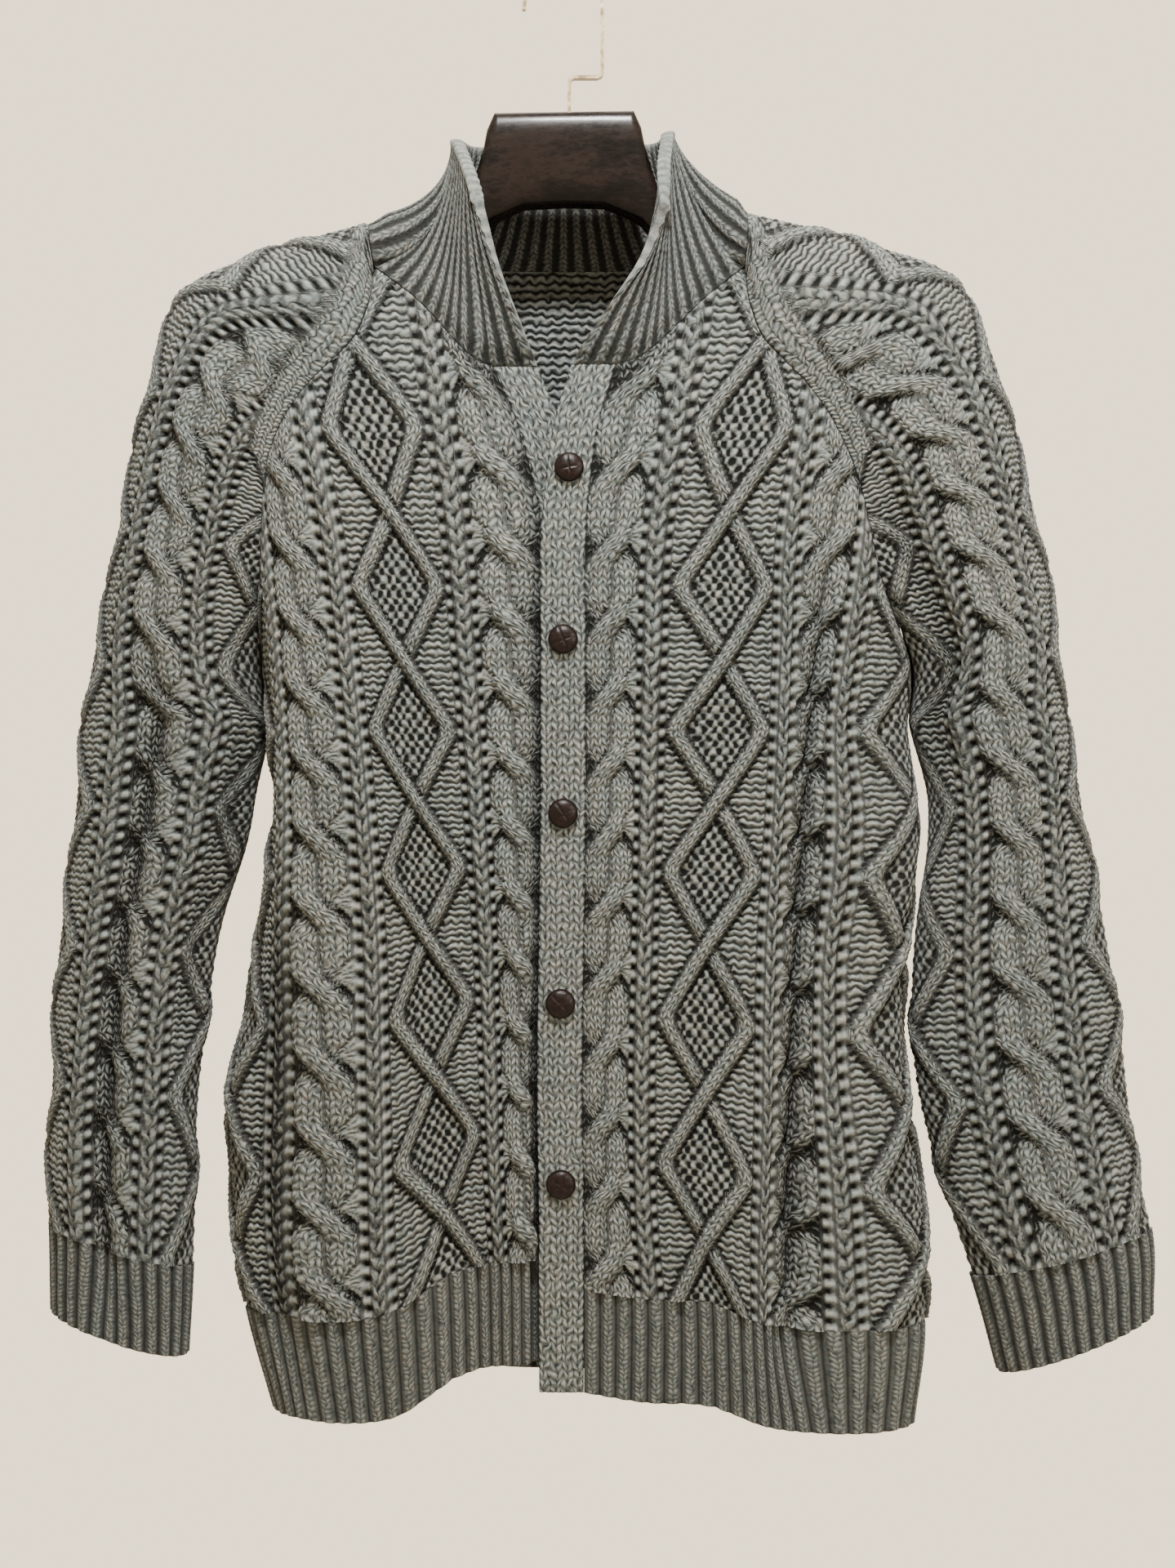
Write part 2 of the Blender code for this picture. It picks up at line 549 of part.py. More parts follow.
def sleeve_lines(t):
    v = t + SLEEVE_PHASE
    half = diamond_lines(0.0, v, first=False)
    half += even_lines(28.0, 46.0, 2, v)
    half += even_lines(46.0, 78.0, 4, v)
    half += even_lines(78.0, 96.0, 2, v)
    half += even_lines(96.0, 97.0, 1, v) + diamond_lines(124.0, v, last=False)
    half += [(half[-1] + SLEEVE_HALF_ROUND) / 2.0, np.full(np.shape(v), SLEEVE_HALF_ROUND)]
    half = np.stack(half, axis=-1)
    middle = np.zeros(np.shape(v))[..., None]
    return np.concatenate([-half[..., ::-1], middle, half], axis=-1)


def clipped_lattice(a, b, inside):
    """Cells of a lattice cut along the line where inside(a, b) is zero.

    a and b hold the columns' and rows' values, one line for each row.  Returns the points
    (a, b) and the polygons.
    """
    good = inside(a, b) >= 0.0
    number = np.full(a.shape, -1)
    number[good] = np.arange(int(good.sum()))
    points = [np.stack([a[good], b[good]], axis=-1)]
    total = len(points[0])

    def cuts(one, other):
        """Number the points where lattice edges cross the line."""
        nonlocal total
        cross = good[one] != good[other]
        start = np.stack([a[one][cross], b[one][cross]], axis=-1)
        end = np.stack([a[other][cross], b[other][cross]], axis=-1)
        swap = ~good[one][cross]
        inner = np.where(swap[:, None], end, start)
        outer = np.where(swap[:, None], start, end)
        for _ in range(26):
            half = (inner + outer) / 2.0
            ok = inside(half[:, 0], half[:, 1]) >= 0.0
            inner = np.where(ok[:, None], half, inner)
            outer = np.where(ok[:, None], outer, half)
        index = np.full(cross.shape, -1)
        index[cross] = total + np.arange(len(inner))
        total += len(inner)
        points.append(inner)
        return index

    left, right = np.s_[:, :-1], np.s_[:, 1:]
    upper, lower = np.s_[:-1, :], np.s_[1:, :]
    level = cuts(left, right)
    upright = cuts(upper, lower)
    faces = []
    for r in range(a.shape[0] - 1):
        for c in range(a.shape[1] - 1):
            ring = (number[r, c], level[r, c], number[r, c + 1], upright[r, c + 1],
                    number[r + 1, c + 1], level[r + 1, c], number[r + 1, c], upright[r, c])
            face = [int(n) for n in ring if n >= 0]
            if len(face) >= 3:
                faces.append(face)
    return np.concatenate(points), faces


def border_loop(points, faces):
    """The border of a disc of faces as one ring of point numbers, anticlockwise in (a, b)."""
    follow = {}
    for face in faces:
        for k, start in enumerate(face):
            follow[(start, face[(k + 1) % len(face)])] = True
    onward = {s: e for s, e in follow if (e, s) not in follow}
    first = next(iter(onward))
    ring = [first]
    while onward[ring[-1]] != first:
        ring.append(onward[ring[-1]])
    return ring


def zip_loops(outer, inner, place):
    """Triangles between two rings that run side by side; place gives comparable points."""
    gap = np.linalg.norm(place[inner] - place[outer[0]], axis=1)
    turn = int(np.argmin(gap))
    inner = inner[turn:] + inner[:turn]
    faces = []
    i = j = 0
    while i < len(outer) or j < len(inner):
        o0, o1 = outer[i % len(outer)], outer[(i + 1) % len(outer)]
        n0, n1 = inner[j % len(inner)], inner[(j + 1) % len(inner)]
        step_outer = np.linalg.norm(place[o1] - place[n0])
        step_inner = np.linalg.norm(place[o0] - place[n1])
        if j >= len(inner) or (i < len(outer) and step_outer <= step_inner):
            faces.append([o1, o0, n0])
            i += 1
        else:
            faces.append([o0, n0, n1])
            j += 1
    return faces


# ---- Blender helpers --------------------------------------------------------------
def clear_scene():
    for thing in list(bpy.data.objects):
        bpy.data.objects.remove(thing, do_unlink=True)


def make_material(name, colour, roughness, metallic=0.0):
    material = bpy.data.materials.new(name)
    material.use_nodes = True
    shader = material.node_tree.nodes["Principled BSDF"]
    shader.inputs["Base Color"].default_value = (*colour, 1.0)
    shader.inputs["Roughness"].default_value = roughness
    shader.inputs["Metallic"].default_value = metallic
    return material


def make_object(name, points, faces, material, group):
    """A closed mesh object from points in millimetres, its faces turned outward."""
    mesh = bpy.data.meshes.new(name)
    mesh.from_pydata([tuple(p) for p in np.asarray(points) * MM], [], faces)
    body = bmesh.new()
    body.from_mesh(mesh)
    bmesh.ops.recalc_face_normals(body, faces=body.faces)
    bmesh.ops.triangulate(body, faces=body.faces, quad_method="SHORT_EDGE")
    if body.calc_volume(signed=True) < 0.0:
        bmesh.ops.reverse_faces(body, faces=body.faces)
    body.to_mesh(mesh)
    body.free()
    mesh.materials.append(material)
    thing = bpy.data.objects.new(name, mesh)
    group.objects.link(thing)
    return thing


def shell(surface, normal, relief, wall, fine, coarse, inside):
    """Points and faces of a knit wall: raised columns outside, plain inside.

    fine and coarse are the lattices (a, b) of the two sides.
    """
    out_ab, out_faces = clipped_lattice(*fine, inside)
    in_ab, in_faces = clipped_lattice(*coarse, inside)
    out_point = surface(out_ab[:, 0], out_ab[:, 1])
    out_point = out_point + normal(out_ab[:, 0], out_ab[:, 1]) * relief(out_ab[:, 0], out_ab[:, 1])[:, None]
    in_point = surface(in_ab[:, 0], in_ab[:, 1]) - normal(in_ab[:, 0], in_ab[:, 1]) * wall
    shift = len(out_point)
    in_faces = [[n + shift for n in face] for face in in_faces]
    place = np.concatenate([out_ab, in_ab]) * np.array([1.0, REPEAT])
    outer_ring = border_loop(out_ab, out_faces)
    inner_ring = border_loop(in_ab, in_faces)
    rim = zip_loops(outer_ring, inner_ring, place)
    faces = out_faces + [face[::-1] for face in in_faces] + rim
    return np.concatenate([out_point, in_point]), faces


def rows_between(start, end, per_repeat, phase=0.0):
    """Row values at even fractions of the pattern repeat, with both ends."""
    first = math.ceil((start + phase) * per_repeat + 0.2)
    last = math.floor((end + phase) * per_repeat - 0.2)
    inner = [k / per_repeat - phase for k in range(first, last + 1)]
    return np.array([start] + inner + [end])


def lattice(line_function, rows):
    lines = line_function(rows)
    return lines, np.repeat(rows[:, None], lines.shape[1], axis=1)


CLOSE_ROWS = 11           # rows kept inside too where an edge bends quickly
SLEEVE_CLOSE_ROWS = 19
# inside columns of a sleeve, one of them in the bottom of each crease
SLEEVE_INSIDE_S = (-133.0, -122.0, -110.0, -98.0, -82.0, -70.0, -58.0, -44.0, -22.0, 0.0,
                   20.0, 40.0, 58.0, 70.0, 84.0, 108.0, 133.0)


def kept_rows(count, close, step):
    return sorted(set(list(range(min(close, count))) + list(range(0, count, step)) + [count - 1]))


def thin_lattice(lines, rows, close=1):
    """Every second line and every third row, with the first and last ones."""
    columns = kept_rows(lines.shape[1], 1, 2)
    levels = kept_rows(lines.shape[0], close, 3)
    return lines[np.ix_(levels, columns)], rows[np.ix_(levels, columns)]


# ---- seams ------------------------------------------------------------------------
def plain_normal(panel):
    if panel == "back":
        return lambda u, v: normals(back_point, u, v, 0.8, 0.01, OUTWARD["back"])
    return lambda u, v: normals(lambda a, b: front_point(panel, a, b), u, v, 0.8, 0.01, OUTWARD[panel])


def sleeve_normal(side):
    outward = 1.0 if side == "left" else -1.0

    def find(s, t):
        reach = seam_reach(side, t) - 1.2
        s = np.clip(s, -reach, reach)
        return normals(lambda a, b: sleeve_point(side, a, b), s, t, 1.0, 0.03, outward)
    return find


def seam_table(side, behind, samples=60):
    """Shared normals along a raglan seam, by t."""
    t = np.linspace(0.0, UNDERARM_T, samples)
    v = sleeve_row(side, 2 if behind else 1, t)
    u = raglan_u(v, behind) - 1.0
    sign = 1.0 if behind else -1.0
    if behind:
        across = -1.0 if side == "left" else 1.0
        body = plain_normal("back")(across * u, v)
    else:
        body = plain_normal(side)(u, v)
    sleeve = sleeve_normal(side)(sign * (seam_reach(side, t) - 2.0), t)
    both = body + sleeve
    down = soft_step((t - UNDERARM_T + 0.5) / 0.5)[:, None]
    both = both / np.maximum(np.linalg.norm(both, axis=1), 1e-6)[:, None]
    both = both * (1.0 - down) + np.array([0.0, 0.0, -1.0]) * down
    both = both / np.maximum(np.linalg.norm(both, axis=1), 1e-6)[:, None]
    return t, v, both


SEAM_TABLES = {}


def seam_normal(side, behind, value, by_row):
    """Shared seam normal at body row v (by_row) or at sleeve row t."""
    key = (side, behind)
    if key not in SEAM_TABLES:
        SEAM_TABLES[key] = seam_table(side, behind)
    t, v, table = SEAM_TABLES[key]
    knots = v if by_row else t
    found = np.stack([np.interp(value, knots, table[:, k]) for k in range(3)], axis=-1)
    return found / np.maximum(np.linalg.norm(found, axis=-1), 1e-6)[..., None]


SEAM_BLEND = 16.0


def blended(natural, shared, distance):
    weight = soft_step(distance / SEAM_BLEND)[..., None]
    mixed = shared * (1.0 - weight) + natural * weight
    return mixed / np.maximum(np.linalg.norm(mixed, axis=-1), 1e-6)[..., None]


def side_seam_normal(sign, v, raglan):
    """The raglan's shared normals, turning into the sideways one below the underarm."""
    below = soft_step((v - UNDERARM_V) / 0.3)[..., None]
    mixed = raglan * (1.0 - below) + np.array([1.0, 0.0, 0.0]) * np.asarray(sign)[..., None] * below
    return mixed / np.maximum(np.linalg.norm(mixed, axis=-1), 1e-6)[..., None]


def front_normal(side):
    natural = plain_normal(side)
    sign = -1.0 if side == "left" else 1.0

    def find(u, v):
        raglan = seam_normal(side, False, np.minimum(v, UNDERARM_V), True)
        shared = side_seam_normal(sign, v, raglan)
        ahead = np.zeros(np.shape(shared)) + np.array([0.0, -1.0, 0.0])
        inner = blended(natural(u, v), ahead, u - BAND_SEAM_U)
        return blended(inner, shared, raglan_u(v) - u)
    return find


def back_normal(u, v):
    left = seam_normal("left", True, np.minimum(v, UNDERARM_V), True)
    right = seam_normal("right", True, np.minimum(v, UNDERARM_V), True)
    raglan = np.where((u < 0)[..., None], left, right)
    shared = side_seam_normal(np.sign(u), v, raglan)
    return blended(plain_normal("back")(u, v), shared, raglan_u(v, True) - np.abs(u))


def joined_sleeve_normal(side):
    natural = sleeve_normal(side)

    inward = 1.0 if side == "left" else -1.0

    def find(s, t):
        before = seam_normal(side, False, np.minimum(t, UNDERARM_T), False)
        behind = seam_normal(side, True, np.minimum(t, UNDERARM_T), False)
        raglan = np.where((s < 0)[..., None], before, behind)
        below = soft_step((t - UNDERARM_T) / 0.6)[..., None]
        shared = raglan * (1.0 - below) + np.array([inward, 0.0, 0.0]) * below
        return blended(natural(s, t), shared, seam_reach(side, t) - np.abs(s))
    return find


def body_gap(v):
    return RAGLAN_GAP + UNDERARM_GAP * bell((v - 2.3) / 0.8)


def front_inside(u, v):
    """Positive inside a front panel: below the neckline and short of the raglan seam."""
    below_neck = (v - neck_v(u)) * REPEAT - SEAM_GAP
    below_neck = np.where(u > FRONT_NECK[-1][0], 99.0, below_neck)
    return np.minimum(below_neck, raglan_u(v) - body_gap(v) - u)


def back_inside(u, v):
    below_neck = (v - neck_v(u, True)) * REPEAT - SEAM_GAP
    below_neck = np.where(np.abs(u) > BACK_NECK[-1][0], 99.0, below_neck)
    return np.minimum(below_neck, raglan_u(v, True) - body_gap(v) - np.abs(u))


def sleeve_inside(side):
    return lambda s, t: seam_reach(side, t) - RAGLAN_GAP - UNDERARM_GAP * bell((t - 4.5) / 1.0) - np.abs(s)


def everywhere(a, b):
    return np.ones(np.shape(a))


# ---- panels -----------------------------------------------------------------------
BODY_ROWS_EACH = 4        # rows in each pattern repeat
FADE = 7.0                # raised stitches sink over this distance from a seam


def front_relief(u, v):
    clear = soft_step((raglan_u(v) - u) / FADE) * soft_step((v - neck_v(u)) * REPEAT / FADE)
    clear = clear * soft_step((u - BAND_SEAM_U) / FADE)
    side = 1.0 - 0.8 * soft_step((u - 196.0) / 12.0) * soft_step((3.9 - v) / 0.6)
    return body_relief(u, v) * clear * side


def back_relief(u, v):
    away = np.abs(u)
    clear = soft_step((raglan_u(v, True) - away) / FADE)
    clear = clear * soft_step((v - neck_v(u, True)) * REPEAT / FADE)
    side = 1.0 - soft_step((away - 190.0) / 12.0) * soft_step((3.9 - v) / 0.6)
    middle = ROPE_RISE * ridge(away, ROPE_HALF + 4.0)
    return np.maximum(body_relief(u, v), middle) * clear * side


def sleeve_side_relief(side):
    def find(s, t):
        away = np.abs(s)
        reach = seam_reach(side, t)
        clear = soft_step((reach - away) / FADE) * soft_step(t / 0.1)
        facing = 1.0 - soft_step((away - 98.0) / 10.0) * soft_step((6.6 - t) / 0.6) * soft_step((t - 3.6) / 0.6)
        return sleeve_relief(s, t) * clear * facing
    return find


def front_panel(side, material, group):
    neck = np.array([-0.46, -0.43, -0.38, -0.30, -0.22, -0.12])
    rows = np.concatenate([neck, rows_between(0.0, BODY_END_V, BODY_ROWS_EACH)])
    rows[-1] = BODY_END_V - HEM_GAP / REPEAT
    lines, levels = lattice(body_lines, rows)
    surface = lambda u, v: front_point(side, u, v)
    coarse = thin_lattice(lines, levels, CLOSE_ROWS)
    points, faces = shell(surface, front_normal(side), front_relief, WALL, (lines, levels), coarse, front_inside)
    return make_object(f"front_{side}", points, faces, material, group)


def back_panel(material, group):
    neck = np.array([-0.66, -0.62, -0.46, -0.23])
    rows = np.concatenate([neck, rows_between(0.0, BODY_END_V, BODY_ROWS_EACH)])
    rows[-1] = BODY_END_V - HEM_GAP / REPEAT
    lines, levels = lattice(back_lines, rows)
    coarse = thin_lattice(lines, levels)
    points, faces = shell(back_point, back_normal, back_relief, WALL, (lines, levels), coarse, back_inside)
    return make_object("back", points, faces, material, group)


def sleeve_panel(side, material, group):
    rows = rows_between(0.0, SLEEVE_END_T, BODY_ROWS_EACH, SLEEVE_PHASE)
    rows[0] = NECK_GAP / REPEAT
    rows[-1] = SLEEVE_END_T - CUFF_GAP[side] / REPEAT
    lines, levels = lattice(sleeve_lines, rows)
    surface = lambda s, t: sleeve_point(side, s, t)
    coarse = tuple(np.meshgrid(SLEEVE_INSIDE_S, rows[kept_rows(len(rows), SLEEVE_CLOSE_ROWS, 3)]))
    points, faces = shell(surface, joined_sleeve_normal(side), sleeve_side_relief(side), WALL,
                          (lines, levels), coarse, sleeve_inside(side))
    return make_object(f"sleeve_{side}", points, faces, material, group)


# ---- ribbing ----------------------------------------------------------------------
def rib_lines(start, end):
    """A line on each rib's crest and in each valley between the ribs."""
    count = max(2, round((end - start) / (RIB_PITCH / 2.0)))
    return np.linspace(start, end, count + 1)


def rib_wall(name, surface, normal, span, levels, wall, material, group, column_step=4):
    lines = rib_lines(*span)
    pitch = (lines[2] - lines[0])
    a, b = np.meshgrid(lines, levels)
    keep = sorted(set(list(range(0, len(lines), column_step)) + [len(lines) - 1]))
    coarse = np.meshgrid(lines[keep], levels)

    def relief(x, y):
        turn = np.mod((x - span[0]) / pitch, 1.0)
        return RIB_RISE * (1.0 - 2.0 * np.abs(turn - 0.5))
    points, faces = shell(surface, normal, relief, wall, (a, b), tuple(coarse), everywhere)
    return make_object(name, points, faces, material, group)


def hem_bands(material, group):
    levels = np.array([BODY_END_V + HEM_GAP / REPEAT, HEM_END_V])
    for side in ("left", "right"):
        surface = lambda u, v, side=side: front_point(side, u, v)
        rib_wall(f"hem_{side}", surface, front_normal(side), (BAND_SEAM_U + 0.3, SIDE_U - SEAM_GAP),
                 levels, WALL, material, group)
    rib_wall("hem_back", back_point, back_normal, (-SIDE_U + SEAM_GAP, SIDE_U - SEAM_GAP),
             levels, WALL, material, group)


def cuffs(material, group):
    for side in ("left", "right"):
        levels = np.array([SLEEVE_END_T + CUFF_GAP[side] / REPEAT, CUFF_END_T])
        surface = lambda s, t, side=side: sleeve_point(side, s, t)
        reach = SLEEVE_HALF_ROUND - SEAM_GAP
        rib_wall(f"cuff_{side}", surface, joined_sleeve_normal(side), (-reach, reach), levels, WALL, material, group)


def band_point(side, a, v):
    """Front band: a runs from the panel's edge over the centre."""
    edge = front_point(side, np.full(np.shape(a * v), BAND_SEAM_U), v)
    away = 1.0 if side == "left" else -1.0
    point = edge.copy()
    point[..., 0] = edge[..., 0] + away * a
    crown = np.sin(math.pi * np.clip(a / BAND_WIDTH, 0.0, 1.0))
    other = front_point("right", np.full(np.shape(a * v), BAND_SEAM_U), v)
    if side == "left":
        under = other[..., 1] + WALL + 1.6
        blend = soft_step(a / 10.0) * soft_step((v - 0.12) / 0.25)
        point[..., 1] = np.maximum(edge[..., 1], edge[..., 1] * (1 - blend) + under * blend)
    else:
        point[..., 1] = edge[..., 1] - 0.8 * crown
    return point


def band_normal(natural, a, v):
    """Straight ahead at the panel's edge, turning with the band beyond it."""
    found = natural(a, v)
    ahead = np.zeros(np.shape(found)) + np.array([0.0, -1.0, 0.0])
    return blended(found, ahead, a)


def bands(material, group):
    rows = rows_between(0.0, HEM_END_V, BODY_ROWS_EACH)
    rows[0] = 0.14 + SEAM_GAP / REPEAT
    outward = {"left": -1.0, "right": 1.0}
    names = {"left": "button_band", "right": "buttonhole_band"}
    for side in ("left", "right"):
        surface = lambda a, v, side=side: band_point(side, a, v)
        natural = lambda a, v, side=side, surface=surface: normals(surface, a, v, 0.8, 0.02, outward[side])
        normal = lambda a, v, natural=natural: band_normal(natural, a, v)
        a, b = np.meshgrid(np.linspace(BAND_GAP, BAND_WIDTH, 4), rows)
        coarse = thin_lattice(a, b, CLOSE_ROWS)
        relief = lambda x, y: np.zeros(np.shape(x))
        points, faces = shell(surface, normal, relief, WALL, (a, b), coarse, everywhere)
        make_object(names[side], points, faces, material, group)


# ---- collar -----------------------------------------------------------------------
def collar_seam():
    """Neckline points from the left band's edge round the back to the right band's edge."""
    def single(function, *values):
        return function(*[np.array(float(value)) for value in values])

    stations = [band_point("left", np.array(BAND_WIDTH), np.array(0.14))]
    for u in (13.0, 36.0, 60.0):
        stations.append(single(lambda a, b: front_point("left", a, b), u, neck_v(u)))
    for share in (-1.0, 0.0, 1.0):
        stations.append(single(lambda a, b: sleeve_point("left", a, b), share * 28.0, 0.0))
    stations.append(single(back_point, -46.0, neck_v(46.0, True)))
    stations.append(single(back_point, 0.0, neck_v(0.0, True)))
    stations.append(single(back_point, 46.0, neck_v(46.0, True)))
    for share in (1.0, 0.0, -1.0):
        stations.append(single(lambda a, b: sleeve_point("right", a, b), share * 28.0, 0.0))
    for u in (60.0, 36.0, 13.0):
        stations.append(single(lambda a, b: front_point("right", a, b), u, neck_v(u)))
    stations.append(band_point("right", np.array(BAND_WIDTH), np.array(0.14)))
    return np.stack(stations)


COLLAR = {}


def collar_point(q, h):
    """Collar surface: q counts stations round the neck, h runs from the seam to the top."""
    if not COLLAR:
        COLLAR["seam"] = collar_seam()
        COLLAR["top"] = np.array(COLLAR_TOP)
    knots = np.arange(len(COLLAR_TOP), dtype=float)
    seam = np.stack([smooth_value(knots, COLLAR["seam"][:, k], q) for k in range(3)], axis=-1)
    top = np.stack([smooth_value(knots, COLLAR["top"][:, k], q) for k in range(3)], axis=-1)
    flare = smooth_value(knots, COLLAR["top"][:, 3], q)
    inward = 1.0 - (1.0 - h) ** (1.0 + flare)
    upward = h ** (1.0 + 0.35 * flare)
    point = seam + (top - seam) * inward[..., None]
    point[..., 2] = seam[..., 2] + (top[..., 2] - seam[..., 2]) * upward
    return point


def collar(material, group):
    ribs = 46
    lines = np.linspace(0.0, len(COLLAR_TOP) - 1.0, 2 * ribs + 1)
    heights = np.array([NECK_GAP / 70.0, 0.25, 0.5, 0.75, 1.0])
    a, b = np.meshgrid(lines, heights)
    coarse = np.meshgrid(lines[::4], heights)
    normal = lambda q, h: normals(collar_point, np.clip(q, 0.02, 15.98), np.clip(h, 0.02, 0.98), 0.02, 0.02, 1.0)

    def relief(q, h):
        turn = np.mod(q / (16.0 / ribs), 1.0)
        rise = RIB_RISE * (1.0 - 2.0 * np.abs(turn - 0.5))
        return rise * soft_step(h / 0.12)
    points, faces = shell(collar_point, normal, relief, COLLAR_WALL, (a, b), tuple(coarse), everywhere)
    return make_object("collar", points, faces, material, group)


# ---- buttons, hanger and hook -----------------------------------------------------
def buttons(material, group):
    """Domed buttons, a profile turned round its own axis, each on the top band."""
    profile = ((0.0, BUTTON_DOME), (0.45 * BUTTON_RADIUS, 0.93 * BUTTON_DOME),
               (0.8 * BUTTON_RADIUS, 0.62 * BUTTON_DOME), (BUTTON_RADIUS, BUTTON_EDGE),
               (0.96 * BUTTON_RADIUS, 0.0), (0.0, 0.0))
    for number, v in enumerate(BUTTON_V, start=1):
        middle = np.array(BAND_WIDTH / 2.0)
        level = np.array(v)
        facing = normals(lambda a, b: band_point("right", a, b), middle, level, 2.0, 0.05, 1.0)
        seat = band_point("right", middle, level) + facing * BUTTON_LIFT
        mesh = bpy.data.meshes.new(f"button_{number}")
        points = [(radius * MM, 0.0, height * MM) for radius, height in profile]
        mesh.from_pydata(points, [(k, k + 1) for k in range(len(points) - 1)], [])
        mesh.materials.append(material)
        button = bpy.data.objects.new(f"button_{number}", mesh)
        group.objects.link(button)
        button.location = Vector(seat * MM)
        button.rotation_euler = Vector(facing).to_track_quat("Z", "Y").to_euler()
        turned = button.modifiers.new("turned", "SCREW")
        turned.axis = "Z"
        turned.steps = BUTTON_STEPS
        turned.render_steps = BUTTON_STEPS
        turned.use_merge_vertices = True
        turned.merge_threshold = 0.00001


def hanger_body(material, group):
    """Head plate and arms, lofted from oval-cornered sections along the hanger."""
    sections = [(-x, top, bottom, half) for x, top, bottom, half in HANGER[:0:-1]] + list(HANGER)
    corners = 10
    points = []
    for x, top, bottom, half in sections:
        middle = (top + bottom) / 2.0 + x * HANGER_TILT
        tall = (top - bottom) / 2.0
        for k in range(corners):
            turn = 2.0 * math.pi * (k + 0.5) / corners
            y = half * math.copysign(abs(math.cos(turn)) ** 0.5, math.cos(turn))
            z = tall * math.copysign(abs(math.sin(turn)) ** 0.7, math.sin(turn))
            points.append((x, y, middle + z))
    faces = []
    for ring in range(len(sections) - 1):
        for k in range(corners):
            after = (k + 1) % corners
            low = ring * corners
            faces.append([low + k, low + after, low + corners + after, low + corners + k])
    faces.append(list(range(corners)))
    faces.append(list(range(len(points) - corners, len(points))))
    return make_object("hanger_body", points, faces, material, group)


def hook_path():
    """Middle line of the bent strip in the XZ plane, from the tip to the head plate."""
    centre_z = -HOOK_RADIUS + HOOK_THICK / 2.0
    path = [(-HOOK_RADIUS - 1.5, centre_z - 19.0), (-HOOK_RADIUS - 0.4, centre_z - 9.0)]
    for k in range(15):
        turn = math.pi * (1.0 - k / 14.0)
        path.append((HOOK_RADIUS * math.cos(turn), centre_z + HOOK_RADIUS * math.sin(turn)))
    corner = 3.0
    path += [(HOOK_RADIUS, HOOK_JOG_Z + corner), (HOOK_RADIUS - 0.9, HOOK_JOG_Z + 0.9),
             (HOOK_RADIUS - corner, HOOK_JOG_Z), (HOOK_STEM_X + corner, HOOK_JOG_Z),
             (HOOK_STEM_X + 0.9, HOOK_JOG_Z - 0.9), (HOOK_STEM_X, HOOK_JOG_Z - corner),
             (HOOK_STEM_X, HANGER[0][1] + 0.3)]
    return np.array(path)


def hanger_hook(material, group):
    """A bent flat strip: its side outline, extruded to the strip's depth."""
    path = hook_path()
    tangent = np.gradient(path, axis=0)
    tangent = tangent / np.linalg.norm(tangent, axis=1)[:, None]
    across = np.stack([-tangent[:, 1], tangent[:, 0]], axis=1) * HOOK_THICK / 2.0
    outline = np.concatenate([path + across, (path - across)[::-1]]) * MM
    curve = bpy.data.curves.new("hanger_hook", "CURVE")
    curve.dimensions = "2D"
    curve.fill_mode = "BOTH"
    curve.extrude = HOOK_DEEP / 2.0 * MM
    spline = curve.splines.new("POLY")
    spline.points.add(len(outline) - 1)
    for point, (x, z) in zip(spline.points, outline):
        point.co = (x, z, 0.0, 1.0)
    spline.use_cyclic_u = True
    curve.materials.append(material)
    hook = bpy.data.objects.new("hanger_hook", curve)
    hook.rotation_euler = (math.pi / 2.0, 0.0, 0.0)
    group.objects.link(hook)


def build():
    clear_scene()
    group = bpy.data.collections.new("cable_knit_cardigan")
    bpy.context.scene.collection.children.link(group)
    knit = make_material("grey_sage_knit", (0.28, 0.29, 0.25), 0.95)
    rib = make_material("grey_sage_rib", (0.27, 0.28, 0.24), 0.95)
    leather = make_material("dark_button", (0.035, 0.018, 0.014), 0.35)
    wood = make_material("dark_wood_gloss", (0.045, 0.018, 0.012), 0.22)
    brass = make_material("brass_strip", (0.62, 0.50, 0.30), 0.28, 1.0)
    for side in ("left", "right"):
        front_panel(side, knit, group)
        sleeve_panel(side, knit, group)
    back_panel(knit, group)
    hem_bands(rib, group)
    cuffs(rib, group)
    bands(knit, group)
    collar(rib, group)
    buttons(leather, group)
    hanger_body(wood, group)
    hanger_hook(brass, group)


build()
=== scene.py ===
"""Looks of the cable knit cardigan on its hanger.

Knit coordinates: u is the distance round the body from the centre front (or back), in
millimetres of cloth; v counts pattern repeats down the body (one lattice diamond each).
On a sleeve, s is the distance round from its top line (minus is the front half) and t
counts repeats down the sleeve from the collar.
"""
import math

